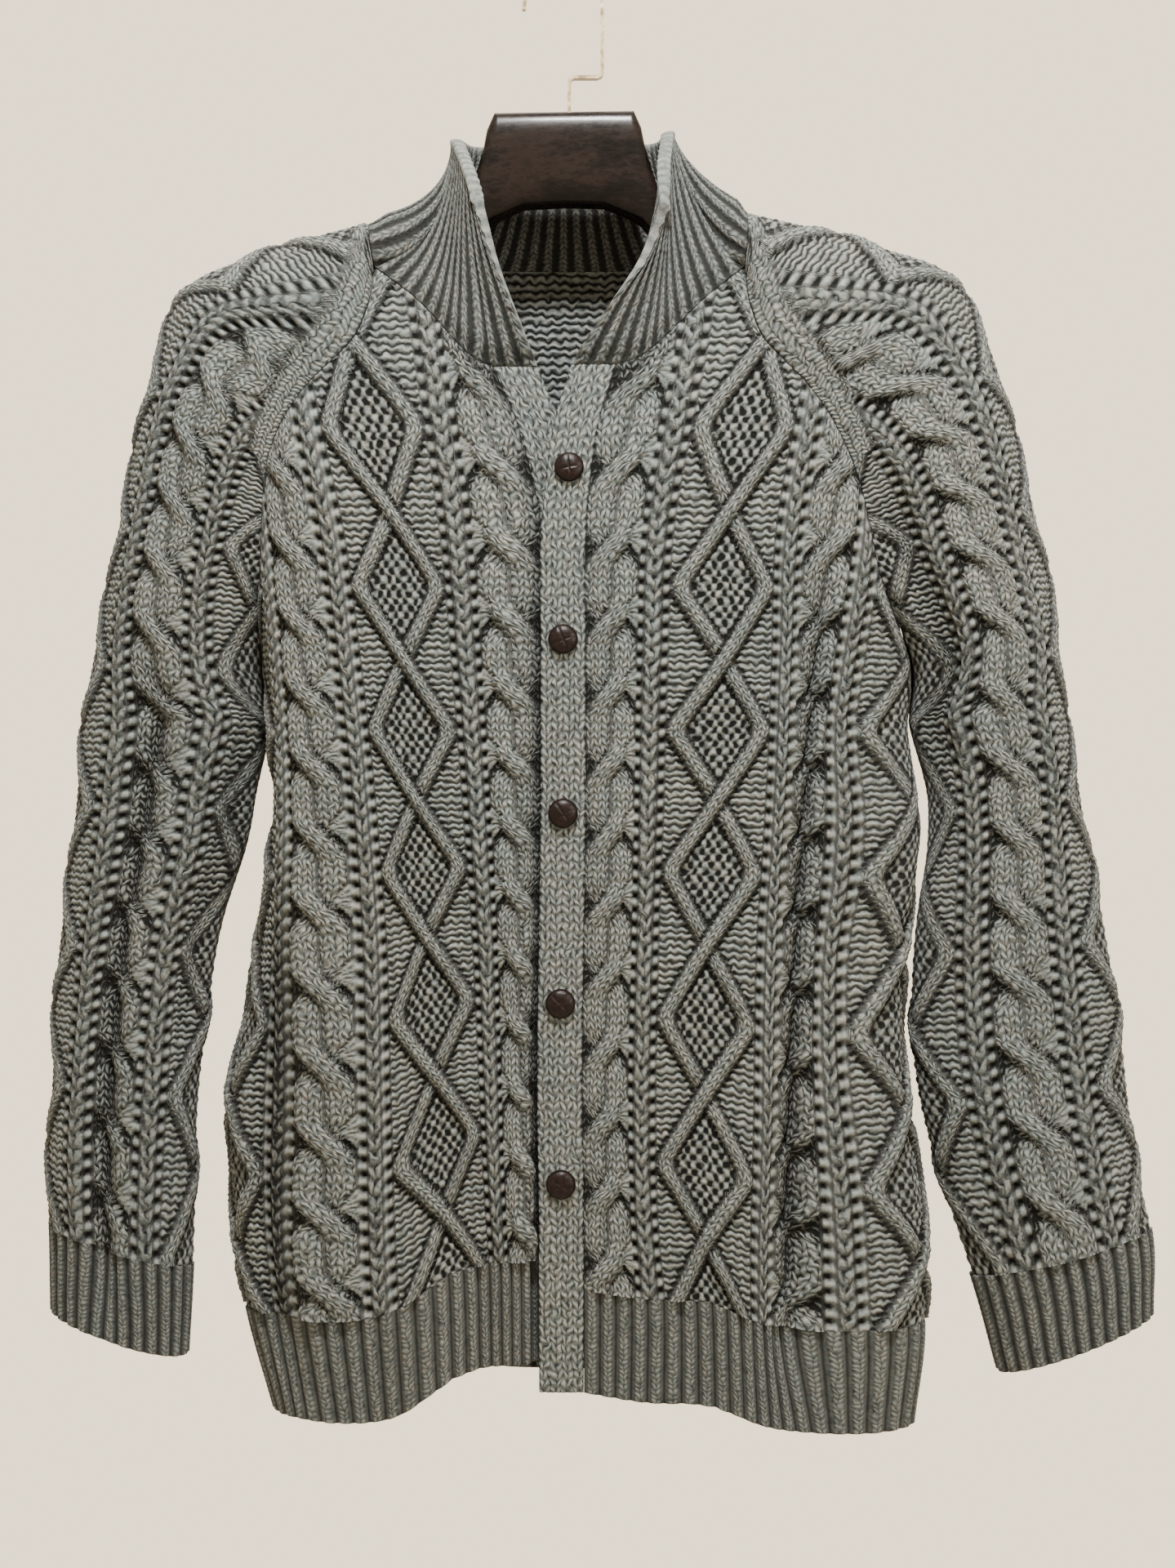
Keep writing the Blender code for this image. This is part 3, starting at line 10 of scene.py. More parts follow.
import bpy
import numpy as np
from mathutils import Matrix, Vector

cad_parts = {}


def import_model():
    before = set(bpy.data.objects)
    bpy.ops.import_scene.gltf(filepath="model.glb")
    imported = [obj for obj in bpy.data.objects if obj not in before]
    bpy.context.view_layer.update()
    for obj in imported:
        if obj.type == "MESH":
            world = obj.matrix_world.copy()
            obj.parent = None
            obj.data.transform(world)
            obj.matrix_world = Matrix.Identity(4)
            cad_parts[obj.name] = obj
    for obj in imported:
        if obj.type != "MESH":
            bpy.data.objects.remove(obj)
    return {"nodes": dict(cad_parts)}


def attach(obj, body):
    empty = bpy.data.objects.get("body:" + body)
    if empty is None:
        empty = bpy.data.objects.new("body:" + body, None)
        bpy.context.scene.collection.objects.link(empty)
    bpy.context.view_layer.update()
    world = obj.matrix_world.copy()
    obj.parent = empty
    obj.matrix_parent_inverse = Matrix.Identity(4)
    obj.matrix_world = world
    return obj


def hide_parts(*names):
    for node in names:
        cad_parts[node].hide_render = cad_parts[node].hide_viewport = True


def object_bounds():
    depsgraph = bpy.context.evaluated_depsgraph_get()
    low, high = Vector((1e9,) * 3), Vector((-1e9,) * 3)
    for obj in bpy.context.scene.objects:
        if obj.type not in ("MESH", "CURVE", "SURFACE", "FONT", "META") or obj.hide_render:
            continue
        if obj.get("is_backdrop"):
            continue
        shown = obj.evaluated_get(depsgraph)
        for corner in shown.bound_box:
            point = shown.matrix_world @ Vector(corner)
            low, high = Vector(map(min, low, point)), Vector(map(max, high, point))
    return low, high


MM = 0.001

# ---- driving sizes, mm ------------------------------------------------------------
WALL = 4.0                # knit wall without its raised stitches
COLLAR_WALL = 5.0
SEAM_GAP = 0.1            # a panel stops this far from its neckline, nearer than the solid
RAGLAN_GAP = 0.2
UNDERARM_GAP = 0.5        # and this much further in the tight curve under the arm
UNDERARM_CLEAR = 2.2      # the sleeve stands this far off the body's side there
REPEAT = 84.0             # height of one lattice diamond
SIDE_U = 245.0            # side seam, from the centre front
BAND_SEAM_U = 13.0        # where the front bands join the panels
BAND_WIDTH = 26.0
BAND_APART = 1.6          # between the top band's inside and the under band
BAND_CROWN = 0.8
UNDERARM_V = 2.4
UNDERARM_T = 4.6
SIDE_Y = 8.0              # depth of the side seams
SLEEVE_HALF_ROUND = 133.0
BODY_END_V = 6.43
HEM_END_V = 7.15
SLEEVE_END_T = 8.25
CUFF_END_T = 8.92
SLEEVE_PHASE = 0.27       # the sleeve lattice crosses at t + phase = whole numbers
NECK_EDGE_V = 0.14        # where the front bands end at the neck
SIDE_SIGN = {"left": -1.0, "right": 1.0}
AHEAD = np.array([0.0, -1.0, 0.0])
OUTWARD = {"left": 1.0, "right": -1.0, "back": 1.0}

# ---- raised stitches, mm ----------------------------------------------------------
STRAND_HALF = 4.5
STRAND_NEAR = 4.9         # a solid's strand from its axis where two strands cross
STRAND_SPARE = 6.1
RIB_RISE = 2.0
DIAMOND_HALF = 28.0
CABLE_A = (28.5, 15.5)    # centre and half width
CABLE_B = (153.0, 17.0)
BODY_ROPES = (53.0, 127.0, 178.0)
BODY_DIAMONDS = (90.0, 215.0)
SLEEVE_ROPES = (37.0, 87.0)
SLEEVE_CABLE = (62.0, 16.0)
SLEEVE_SIDE_DIAMOND = 124.0   # the other one runs down the sleeve's top line

# ---- body sections: how far each guide column lies from x = 0, row by row ---------
GUIDES_U = (13.0, 53.0, 90.0, 127.0, 153.0, 178.0, 215.0, 245.0)
#  v      edge  rope1 diamA rope2 cableB rope3 diamB side
FRONT_X = {
    "left": (
        (-0.7, 50.0, 88.0, 138.0, 172.0, 192.0, 208.0, 230.0, 238.0),
        (0.0, 46.0, 79.0, 124.0, 160.0, 180.0, 196.0, 220.0, 230.0),
        (0.5, 26.0, 71.0, 112.0, 150.0, 171.0, 187.0, 206.0, 214.0),
        (1.0, 14.0, 64.0, 101.0, 139.0, 162.0, 178.0, 194.0, 200.0),
        (2.0, 13.0, 56.0, 92.0, 126.0, 151.0, 169.0, 180.0, 182.0),
        (3.0, 13.0, 50.0, 85.0, 117.0, 144.0, 164.0, 172.0, 172.0),
        (4.0, 14.0, 45.0, 79.0, 111.0, 141.0, 166.0, 181.0, 181.0),
        (5.0, 15.0, 42.0, 74.0, 109.0, 138.0, 167.0, 197.0, 197.0),
        (6.0, 14.5, 39.0, 69.0, 107.0, 137.0, 166.0, 194.0, 196.0),
        (6.43, 14.0, 37.0, 66.0, 105.0, 134.0, 162.0, 188.0, 190.0),
        (7.15, 14.0, 36.0, 64.0, 101.0, 127.0, 151.0, 172.0, 174.0),
    ),
    "right": (
        (-0.7, 37.0, 82.0, 132.0, 165.0, 187.0, 203.0, 226.0, 234.0),
        (0.0, 34.0, 75.0, 118.0, 153.0, 174.0, 191.0, 218.0, 228.0),
        (0.5, 20.0, 65.0, 106.0, 143.0, 165.0, 185.0, 214.0, 224.0),
        (1.0, 14.0, 56.0, 97.0, 134.0, 157.0, 180.0, 212.0, 221.0),
        (2.0, 13.0, 51.0, 93.0, 129.0, 147.0, 166.0, 206.0, 213.0),
        (3.0, 13.0, 49.0, 89.0, 125.0, 140.0, 155.0, 197.0, 200.0),
        (4.0, 12.0, 47.0, 83.0, 120.0, 135.0, 151.0, 193.0, 195.0),
        (5.0, 11.0, 45.0, 82.0, 118.0, 132.0, 154.0, 198.0, 202.0),
        (6.0, 12.0, 47.0, 83.0, 115.0, 130.0, 162.0, 208.0, 212.0),
        (6.43, 12.0, 50.0, 86.0, 115.0, 130.0, 166.0, 212.0, 216.0),
        (7.15, 12.0, 50.0, 88.0, 119.0, 140.0, 168.0, 206.0, 211.0),
    ),
}
# how much of the front's depth each guide keeps, 1 at the middle and 0 at the side seam
FRONT_ROUND = (1.0, 1.0, 0.98, 0.95, 0.89, 0.79, 0.36, 0.0)
BACK_GUIDES_U = (0.0, 53.0, 90.0, 127.0, 153.0, 178.0, 215.0, 245.0)
BACK_SPREAD = (0.0, 0.27, 0.46, 0.65, 0.78, 0.89, 0.985, 1.0)
BACK_ROUND = (1.0, 1.0, 0.98, 0.95, 0.89, 0.78, 0.36, 0.0)
# height of the rows and depth of front and back, by v
#       v      z      front  back
ROWS = (
    (-0.7, -180.0, 28.0, 44.0),
    (-0.46, -204.0, 31.0, 45.0),
    (0.0, -250.0, 42.0, 47.0),
    (0.5, -302.0, 50.0, 50.0),
    (1.0, -351.0, 54.0, 52.0),
    (2.0, -438.0, 58.0, 54.0),
    (3.0, -520.0, 60.0, 55.0),
    (4.0, -603.0, 60.0, 55.0),
    (5.0, -689.0, 60.0, 54.0),
    (6.0, -773.0, 60.0, 53.0),
    (6.43, -810.0, 59.0, 52.0),
    (7.15, -870.0, 55.0, 50.0),
)
# the ribbing pulls some columns up and lets others down, at each guide
HEM_LIFT = {
    "left": (24.0, 23.0, 16.0, -8.0, -12.0, -12.0, -13.0, -13.0),
    "right": (8.0, 2.0, 0.0, -13.0, -17.0, -20.0, -22.0, -24.0),
    "back": (-8.0, -4.0, -10.0, -14.0, -10.0, -12.0, -18.0, -18.0),
}
LIFT_STARTS_V = 2.5
BACK_LIFT_U = 170.0       # beyond this the back's lift turns into the front's at the side seam
# long soft folds: panel, u at the top and bottom, half width, first and last v, depth
FOLDS = (
    ("left", 181.0, 181.0, 21.0, 3.1, 7.4, 11.0),
    ("left", 13.0, 13.0, 17.0, -1.5, 9.0, 9.0),
    ("left", 15.0, 17.0, 19.0, 3.9, 9.0, 5.0),
    ("left", 112.0, 108.0, 26.0, 5.6, 9.0, -5.0),
    ("left", 66.0, 62.0, 26.0, 5.8, 9.0, 4.0),
    ("right", 152.0, 151.0, 19.0, 0.9, 7.0, 16.0),
    ("right", 200.0, 205.0, 30.0, 3.0, 9.0, -5.0),
    ("right", 105.0, 100.0, 30.0, 4.5, 9.0, -4.0),
    ("back", -150.0, -144.0, 28.0, 1.6, 9.0, 9.0),
    ("back", 132.0, 150.0, 28.0, 1.2, 8.0, 10.0),
    ("back", -48.0, -30.0, 30.0, 3.4, 9.0, 7.0),
    ("back", 70.0, 64.0, 26.0, 4.2, 9.0, 6.0),
    ("back", -95.0, -90.0, 30.0, 4.0, 9.0, -4.0),
)

# how far the right side's cloth swings out to the sleeve, by v, and where that starts
SPREAD = ((2.4, 0.0), (2.75, 7.0), (3.0, 13.0), (3.2, 15.0), (3.4, 15.0), (3.65, 13.0),
          (3.87, 8.5), (4.1, 6.0), (4.35, 4.5), (4.8, 3.5), (5.2, 5.5), (5.5, 6.5), (5.8, 5.5),
          (6.1, 3.0), (6.43, 0.0))
SPREAD_U = 140.0
SPREAD_RUN = 70.0

# ---- neckline and raglan seams ----------------------------------------------------
FRONT_NECK = ((13.0, 0.14), (25.0, 0.10), (36.0, 0.0), (50.0, -0.17), (62.0, -0.32),
              (74.0, -0.46))
BACK_NECK = ((0.0, -0.60), (40.0, -0.61), (70.0, -0.64), (84.0, -0.66))
#        v     front u  back u
RAGLAN = (
    (-0.7, 70.0, 83.0),
    (-0.46, 74.0, 87.0),
    (-0.2, 80.0, 92.0),
    (0.0, 91.0, 100.0),
    (0.12, 105.0, 110.0),
    (0.22, 118.0, 120.0),
    (0.45, 143.0, 143.0),
    (0.78, 167.0, 167.0),
    (1.0, 176.0, 177.0),
    (1.4, 190.0, 191.0),
    (1.9, 213.0, 213.0),
    (2.4, 245.0, 245.0),
)
# sleeve rows: t, raglan v in front and behind, distance round to the seam, then the top
# line's x and z, the underarm line's x and z, half depth in front and behind
SLEEVE = {
    "left": (
        (0.0, -0.46, -0.66, 28.0, 117.0, -173.0, 170.0, -400.0, 36.0, 46.0),
        (0.5, -0.18, -0.30, 40.0, 156.0, -182.0, 170.0, -410.0, 42.0, 48.0),
        (1.0, 0.14, 0.10, 60.0, 196.0, -195.0, 170.0, -420.0, 47.0, 50.0),
        (1.5, 0.33, 0.31, 82.0, 229.0, -213.0, 170.0, -430.0, 48.0, 50.0),
        (2.0, 0.55, 0.55, 98.0, 245.0, -252.0, 170.0, -440.0, 48.0, 49.0),
        (3.0, 1.10, 1.10, 116.0, 264.0, -337.0, 170.0, -450.0, 45.0, 45.0),
        (4.0, 1.86, 1.86, 128.0, 281.0, -419.0, 172.0, -460.0, 40.0, 40.0),
        (4.6, 2.40, 2.40, 133.0, 289.0, -468.0, 180.0, -471.0, 37.0, 37.0),
        (5.0, 2.40, 2.40, 133.0, 293.0, -502.0, 187.0, -508.0, 35.0, 35.0),
        (5.5, 2.40, 2.40, 133.0, 298.0, -545.0, 194.0, -546.0, 34.0, 34.0),
        (6.0, 2.40, 2.40, 133.0, 302.0, -586.0, 208.0, -590.0, 33.0, 33.0),
        (7.0, 2.40, 2.40, 133.0, 308.0, -668.0, 222.0, -676.0, 33.0, 33.0),
        (8.0, 2.40, 2.40, 133.0, 311.0, -752.0, 227.0, -772.0, 32.0, 32.0),
        (8.25, 2.40, 2.40, 133.0, 310.0, -774.0, 228.0, -800.0, 31.0, 31.0),
        (8.92, 2.40, 2.40, 133.0, 309.0, -826.0, 231.0, -853.0, 29.0, 29.0),
    ),
    "right": (
        (0.0, -0.46, -0.66, 28.0, 110.0, -166.0, 205.0, -400.0, 36.0, 46.0),
        (0.5, -0.18, -0.30, 40.0, 150.0, -175.0, 205.0, -410.0, 42.0, 48.0),
        (1.0, 0.14, 0.10, 60.0, 193.0, -187.0, 205.0, -420.0, 47.0, 50.0),
        (1.5, 0.33, 0.31, 82.0, 232.0, -203.0, 205.0, -430.0, 48.0, 50.0),
        (2.0, 0.55, 0.55, 98.0, 254.0, -241.0, 205.0, -440.0, 48.0, 49.0),
        (3.0, 1.10, 1.10, 116.0, 279.0, -325.0, 205.0, -450.0, 45.0, 45.0),
        (4.0, 1.86, 1.86, 128.0, 295.0, -410.0, 208.0, -460.0, 40.0, 40.0),
        (4.6, 2.40, 2.40, 133.0, 302.0, -462.0, 214.0, -471.0, 37.0, 37.0),
        (5.0, 2.40, 2.40, 133.0, 309.0, -496.0, 221.0, -508.0, 34.0, 34.0),
        (5.5, 2.40, 2.40, 133.0, 315.0, -538.0, 222.0, -548.0, 31.0, 31.0),
        (6.0, 2.40, 2.40, 133.0, 323.0, -582.0, 216.0, -592.0, 29.0, 29.0),
        (7.0, 2.40, 2.40, 133.0, 337.0, -668.0, 216.0, -682.0, 27.0, 27.0),
        (8.0, 2.40, 2.40, 133.0, 349.0, -755.0, 240.0, -776.0, 27.0, 27.0),
        (8.25, 2.40, 2.40, 133.0, 354.0, -778.0, 250.0, -806.0, 27.0, 27.0),
        (8.92, 2.40, 2.40, 133.0, 355.0, -829.0, 266.0, -863.0, 26.0, 26.0),
    ),
}
# long creases in the sleeves: side, s, half width, first and last t, depth
CREASES = (
    ("left", -58.0, 17.0, 3.6, 9.2, 13.0),
    ("left", 70.0, 18.0, 3.0, 8.6, 9.0),
    ("left", -104.0, 16.0, 4.2, 7.2, 5.0),
    ("right", -100.0, 20.0, 2.4, 5.2, 7.0),
    ("right", 58.0, 18.0, 3.4, 8.8, 9.0),
    ("right", 20.0, 16.0, 4.8, 8.4, 6.0),
)
# collar stations from the left front edge round the back to the right: the top edge
#  x, y, z of the top, and how strongly the wall flares between seam and top
COLLAR_TOP = (
    (-48.0, -42.0, -165.0, 0.1),
    (-51.0, -34.0, -152.0, 0.2),
    (-55.0, -22.0, -139.0, 0.4),
    (-60.0, -6.0, -124.0, 0.7),
    (-63.0, 10.0, -116.0, 0.9),
    (-63.0, 24.0, -113.0, 1.0),
    (-56.0, 38.0, -112.0, 0.8),
    (-33.0, 49.0, -109.0, 0.5),
    (0.0, 53.0, -107.0, 0.4),
    (33.0, 49.0, -108.0, 0.5),
    (55.0, 38.0, -110.0, 0.7),
    (61.0, 24.0, -110.0, 0.5),
    (60.0, 10.0, -112.0, 0.3),
    (59.0, -6.0, -121.0, 0.3),
    (57.0, -22.0, -137.0, 0.4),
    (57.0, -34.0, -152.0, 0.2),
    (59.0, -42.0, -168.0, 0.1),
)

# ---- buttons, hanger and hook, mm -------------------------------------------------
BUTTON_V = (0.74, 1.86, 3.09, 4.44, 5.71)
BUTTON_RADIUS = 8.6
BUTTON_DOME = 5.4
BUTTON_EDGE = 1.6
BUTTON_LIFT = 0.6         # from the band's middle line to the button's back
BUTTON_RINGS = 16
BUTTON_SPOKES = 48
BUTTON_GROOVE = 0.42      # depth of the crossed lines
# hanger sections: distance from the middle, top z, bottom z, half thickness
HANGER = (
    (0.0, -104.0, -160.0, 11.0),
    (24.0, -104.0, -161.0, 11.0),
    (42.0, -104.0, -169.0, 11.0),
    (46.5, -114.0, -172.0, 11.0),
    (49.0, -127.0, -175.0, 11.0),
    (57.0, -152.0, -182.0, 10.5),
    (70.0, -181.0, -195.0, 9.5),
    (95.0, -190.0, -207.0, 10.5),
    (120.0, -186.7, -213.7, 14.0),
    (160.0, -192.7, -225.7, 17.0),
    (195.0, -201.7, -236.7, 18.0),
    (215.0, -211.7, -240.7, 16.0),
    (223.0, -221.7, -238.7, 10.0),
)
HANGER_TILT = 0.016       # rise of the hanger towards +X
HANGER_CORNERS = 56


# ---- curves and surfaces ----------------------------------------------------------
def smooth_value(knots, values, at):
    """Smooth curve through values at rising knots; values may differ point by point."""
    knots = np.asarray(knots, float)
    values = np.asarray(values, float)
    at = np.clip(np.asarray(at, float), knots[0], knots[-1])
    step = np.diff(knots)
    rise = np.diff(values, axis=-1) / step
    inner = (rise[..., :-1] * step[1:] + rise[..., 1:] * step[:-1]) / (step[1:] + step[:-1])
    slope = np.concatenate([rise[..., :1], inner, rise[..., -1:]], axis=-1)
    cell = np.clip(np.searchsorted(knots, at, side="right") - 1, 0, len(knots) - 2)

    def pick(rows, index):
        if rows.ndim == 1:
            return rows[index]
        return np.take_along_axis(rows, index[..., None], -1)[..., 0]

    width = step[cell]
    w = (at - knots[cell]) / width
    start = (2 * w**3 - 3 * w**2 + 1) * pick(values, cell)
    start = start + (w**3 - 2 * w**2 + w) * width * pick(slope, cell)
    end = (3 * w**2 - 2 * w**3) * pick(values, cell + 1)
    return start + end + (w**3 - w**2) * width * pick(slope, cell + 1)


def table_value(rows, index, at):
    """Smooth value of a table's column at places in its first column."""
    return smooth_value([row[0] for row in rows], [row[index] for row in rows], at)


def unit(vectors):
    return vectors / np.maximum(np.linalg.norm(vectors, axis=-1), 1e-9)[..., None]


def on_side(point, side):
    """The surface of one side, from a function that serves both."""
    return lambda a, b: point(side, a, b)


def distance_along(points):
    """Length along a row of points up to each of them."""
    return np.concatenate([[0.0], np.cumsum(np.linalg.norm(np.diff(points, axis=0), axis=1))])


def soft_step(value):
    value = np.clip(value, 0.0, 1.0)
    return value * value * (3.0 - 2.0 * value)


def bell(distance):
    """One at zero, falling smoothly to zero at one."""
    return np.cos(np.clip(np.abs(distance), 0.0, 1.0) * math.pi / 2) ** 2


def fold_depth(panel, u, v):
    """How far the long folds push a body panel inward."""
    depth = np.zeros(np.shape(u))
    for name, u_top, u_bottom, half, v_start, v_end, fold in FOLDS:
        if name == panel:
            run = (v - v_start) / (v_end - v_start)
            middle = u_top + (u_bottom - u_top) * np.clip(run, 0.0, 1.0)
            ends = soft_step(run / 0.28) * soft_step((1.0 - run) / 0.22)
            depth = depth + fold * bell((u - middle) / half) * ends
    return depth


def hem_columns():
    """The solids' columns where a panel meets its hem, as u from the centre to the side."""
    turn = BODY_END_V % 1.0
    wave = 1.5 * min(turn, 1.0 - turn) + 0.25 * math.sin(math.pi * turn) ** 2
    strand = STRAND_NEAR + (DIAMOND_HALF - STRAND_HALF - STRAND_SPARE) * wave
    edges = [sign * strand + edge for sign in (-1.0, 1.0) for edge in (-STRAND_HALF, 0.0, STRAND_HALF)]
    columns = [axis + edge for axis in BODY_DIAMONDS for edge in (0.0, *edges)]
    for start, end, count in ((BAND_SEAM_U, 44.0, 4), (44.0, 62.0, 2), (118.0, 136.0, 2),
                              (136.0, 170.0, 4), (170.0, 187.0, 2)):
        columns += [start + (end - start) * k / count for k in range(count)]
    return np.array(sorted([0.0, 62.0, 187.0, SIDE_U] + columns))


def row_height(panel, u, v):
    """Height of a body row; the lift is straight between the columns that meet the hem."""
    guides = BACK_GUIDES_U if panel == "back" else GUIDES_U
    knots = hem_columns()
    lift = np.interp(np.abs(u), knots, smooth_value(guides, HEM_LIFT[panel], knots))
    if panel == "back":
        side = np.where(u < 0, HEM_LIFT["left"][-1], HEM_LIFT["right"][-1])
        near = soft_step((np.abs(u) - BACK_LIFT_U) / (SIDE_U - BACK_LIFT_U))
        lift = lift * (1.0 - near) + side * near
    ramp = soft_step((v - LIFT_STARTS_V) / (BODY_END_V - LIFT_STARTS_V))
    return table_value(ROWS, 1, v) + lift * ramp


def side_line(side, v):
    """Distance of a side seam from x = 0."""
    return table_value(FRONT_X[side], len(GUIDES_U), v)


def side_spread(u, v):
    """How far the right side's cloth swings out between its seams; u is signed."""
    return table_value(SPREAD, 1, v) * soft_step((u - SPREAD_U) / SPREAD_RUN)


def front_point(side, u, v):
    """Point of a front panel's outer base surface; u runs outward from the centre."""
    guides = [table_value(FRONT_X[side], k + 1, v) for k in range(len(GUIDES_U))]
    x = smooth_value(GUIDES_U, np.stack(guides, axis=-1), u)
    y = SIDE_Y - (table_value(ROWS, 2, v) + SIDE_Y) * smooth_value(GUIDES_U, FRONT_ROUND, u)
    y = y + fold_depth(side, u, v)
    sign = SIDE_SIGN[side]
    return np.stack([sign * x + side_spread(sign * u, v), y, row_height(side, u, v)], axis=-1)


def back_point(u, v):
    """Point of the back's outer base surface; u is minus on the left."""
    reach = np.where(u < 0, side_line("left", v), side_line("right", v))
    away = np.abs(u)
    x = np.sign(u) * reach * smooth_value(BACK_GUIDES_U, BACK_SPREAD, away) + side_spread(u, v)
    y = SIDE_Y + (table_value(ROWS, 3, v) - SIDE_Y) * smooth_value(BACK_GUIDES_U, BACK_ROUND, away)
    y = y - fold_depth("back", u, v)
    return np.stack([x, y, row_height("back", u, v)], axis=-1)


def raglan_u(v, behind=False):
    return table_value(RAGLAN, 2 if behind else 1, v)


def neck_v(u, behind=False):
    return table_value(BACK_NECK if behind else FRONT_NECK, 1, np.abs(u))


def sleeve_row(side, index, t):
    return table_value(SLEEVE[side], index, t)


def seam_reach(side, t):
    """Distance round the sleeve from its top line to the seam."""
    return sleeve_row(side, 3, t)


def sleeve_half(side, t, behind, samples):
    """One half of a sleeve section, from the top line round to the seam."""
    sign = SIDE_SIGN[side]
    away = 1.0 if behind else -1.0
    v = float(sleeve_row(side, 2 if behind else 1, t))
    u = raglan_u(v, behind)
    top = np.array([sign * float(sleeve_row(side, 4, t)), 0.0, float(sleeve_row(side, 5, t))])

    def under_line(level):
        return np.array([sign * float(sleeve_row(side, 6, level)), SIDE_Y,
                         float(sleeve_row(side, 7, level))])
    seam = back_point(sign * u, np.array(v)) if behind else front_point(side, u, np.array(v))
    if t >= UNDERARM_T:
        follow = 1.0 - float(soft_step((t - UNDERARM_T) / 0.6))
        seam = under_line(t) + (seam - under_line(UNDERARM_T)) * follow
    seam = seam + np.array([sign * UNDERARM_CLEAR * float(bell((t - 4.5) / 0.8)), 0.0, 0.0])
    half = max(float(sleeve_row(side, 9 if behind else 8, t)), abs(seam[1]) * 1.01)
    first = math.asin(max(-1.0, min(1.0, away * seam[1] / half)))
    turn = np.linspace(math.pi, first, samples)
    share = (math.cos(first) - np.cos(turn)) / (math.cos(first) + 1.0)
    points = seam + (top - seam) * share[:, None]
    points[:, 1] = away * half * np.sin(turn)
    return points


def crease_depth(side, s, t):
    """How far the long creases push a sleeve inward."""
    depth = np.zeros(np.shape(s))
    for name, place, half, t_start, t_end, crease in CREASES:
        if name == side:
            run = (t - t_start) / (t_end - t_start)
            ends = soft_step(run / 0.3) * soft_step((1.0 - run) / 0.2)
            depth = depth + crease * ends * bell((s - place) / half)
    return depth


def round_shares(loop, top):
    """Place of each point of a sleeve row: -1 at the front seam, 0 on top, 1 at the back seam."""
    lengths = distance_along(loop)
    middle = lengths[top]
    return (lengths - middle) / np.where(lengths < middle, middle, lengths[-1] - middle)


def sleeve_section(side, t, samples=41):
    """Closed row of a sleeve from the front seam over the top line to the back seam."""
    front = sleeve_half(side, t, False, samples)
    back = sleeve_half(side, t, True, samples)
    loop = np.concatenate([front[::-1], back[1:]])
    outward = unit(np.cross(np.gradient(loop, axis=0), np.array([[0.0, 0.0, -1.0]])))
    flip = np.sign(np.sum(outward * (loop - loop.mean(axis=0)), axis=1).mean())
    s = round_shares(loop, samples - 1) * float(seam_reach(side, t))
    loop = loop - flip * outward * crease_depth(side, s, t)[:, None]
    even = np.linspace(-1.0, 1.0, 2 * samples - 1)
    shares = round_shares(loop, samples - 1)
    return np.stack([np.interp(even, shares, loop[:, k]) for k in range(3)], axis=-1)


SLEEVE_STEPS = 240        # rows of a sleeve's table of points
SLEEVE_GRID = {}


def sleeve_grid(side):
    rows = np.linspace(0.0, CUFF_END_T, SLEEVE_STEPS + 1)
    return np.stack([sleeve_section(side, float(t)) for t in rows])


def sleeve_point(side, s, t):
    """Point of a sleeve's outer base surface."""
    if side not in SLEEVE_GRID:
        SLEEVE_GRID[side] = sleeve_grid(side)
    grid = SLEEVE_GRID[side]
    share = np.clip(s / seam_reach(side, t), -1.0, 1.0)
    across = (share + 1.0) / 2.0 * (grid.shape[1] - 1)
    down = np.clip(t / CUFF_END_T, 0.0, 1.0) * SLEEVE_STEPS
    j = np.clip(np.floor(across).astype(int), 0, grid.shape[1] - 2)
    i = np.clip(np.floor(down).astype(int), 0, SLEEVE_STEPS - 1)
    fj = (across - j)[..., None]
    fi = (down - i)[..., None]
    upper = grid[i, j] * (1 - fj) + grid[i, j + 1] * fj
    lower = grid[i + 1, j] * (1 - fj) + grid[i + 1, j + 1] * fj
    return upper * (1 - fi) + lower * fi


def normals(surface, a, b, step_a, step_b, outward):
    """Unit normals of surface(a, b), pointing out of the cloth."""
    da = surface(a + step_a, b) - surface(a - step_a, b)
    db = surface(a, b + step_b) - surface(a, b - step_b)
    return unit(np.cross(da, db) * outward)


# ---- lattices of columns and rows -------------------------------------------------


def clipped_lattice(a, b, inside):
    """Cells of a lattice cut along the line where inside(a, b) is zero.

    a and b hold the columns' and rows' values, one line for each row.  Returns the points
    (a, b) and the polygons.
    """
    good = inside(a, b) >= 0.0
    number = np.full(a.shape, -1)
    number[good] = np.arange(int(good.sum()))
    points = [np.stack([a[good], b[good]], axis=-1)]
    total = len(points[0])

    def cuts(one, other):
        """Number the points where lattice edges cross the line."""
        nonlocal total
        cross = good[one] != good[other]
        start = np.stack([a[one][cross], b[one][cross]], axis=-1)
        end = np.stack([a[other][cross], b[other][cross]], axis=-1)
        swap = ~good[one][cross]
        inner = np.where(swap[:, None], end, start)
        outer = np.where(swap[:, None], start, end)
        for _ in range(26):
            half = (inner + outer) / 2.0
            ok = inside(half[:, 0], half[:, 1]) >= 0.0
            inner = np.where(ok[:, None], half, inner)
            outer = np.where(ok[:, None], outer, half)
        index = np.full(cross.shape, -1)
        index[cross] = total + np.arange(len(inner))
        total += len(inner)
        points.append(inner)
        return index

    left, right = np.s_[:, :-1], np.s_[:, 1:]
    upper, lower = np.s_[:-1, :], np.s_[1:, :]
    level = cuts(left, right)
    upright = cuts(upper, lower)
    faces = []
    for r in range(a.shape[0] - 1):
        for c in range(a.shape[1] - 1):
            ring = (number[r, c], level[r, c], number[r, c + 1], upright[r, c + 1],
                    number[r + 1, c + 1], level[r + 1, c], number[r + 1, c], upright[r, c])
            face = [int(n) for n in ring if n >= 0]
            if len(face) >= 3:
                faces.append(face)
    return np.concatenate(points), faces


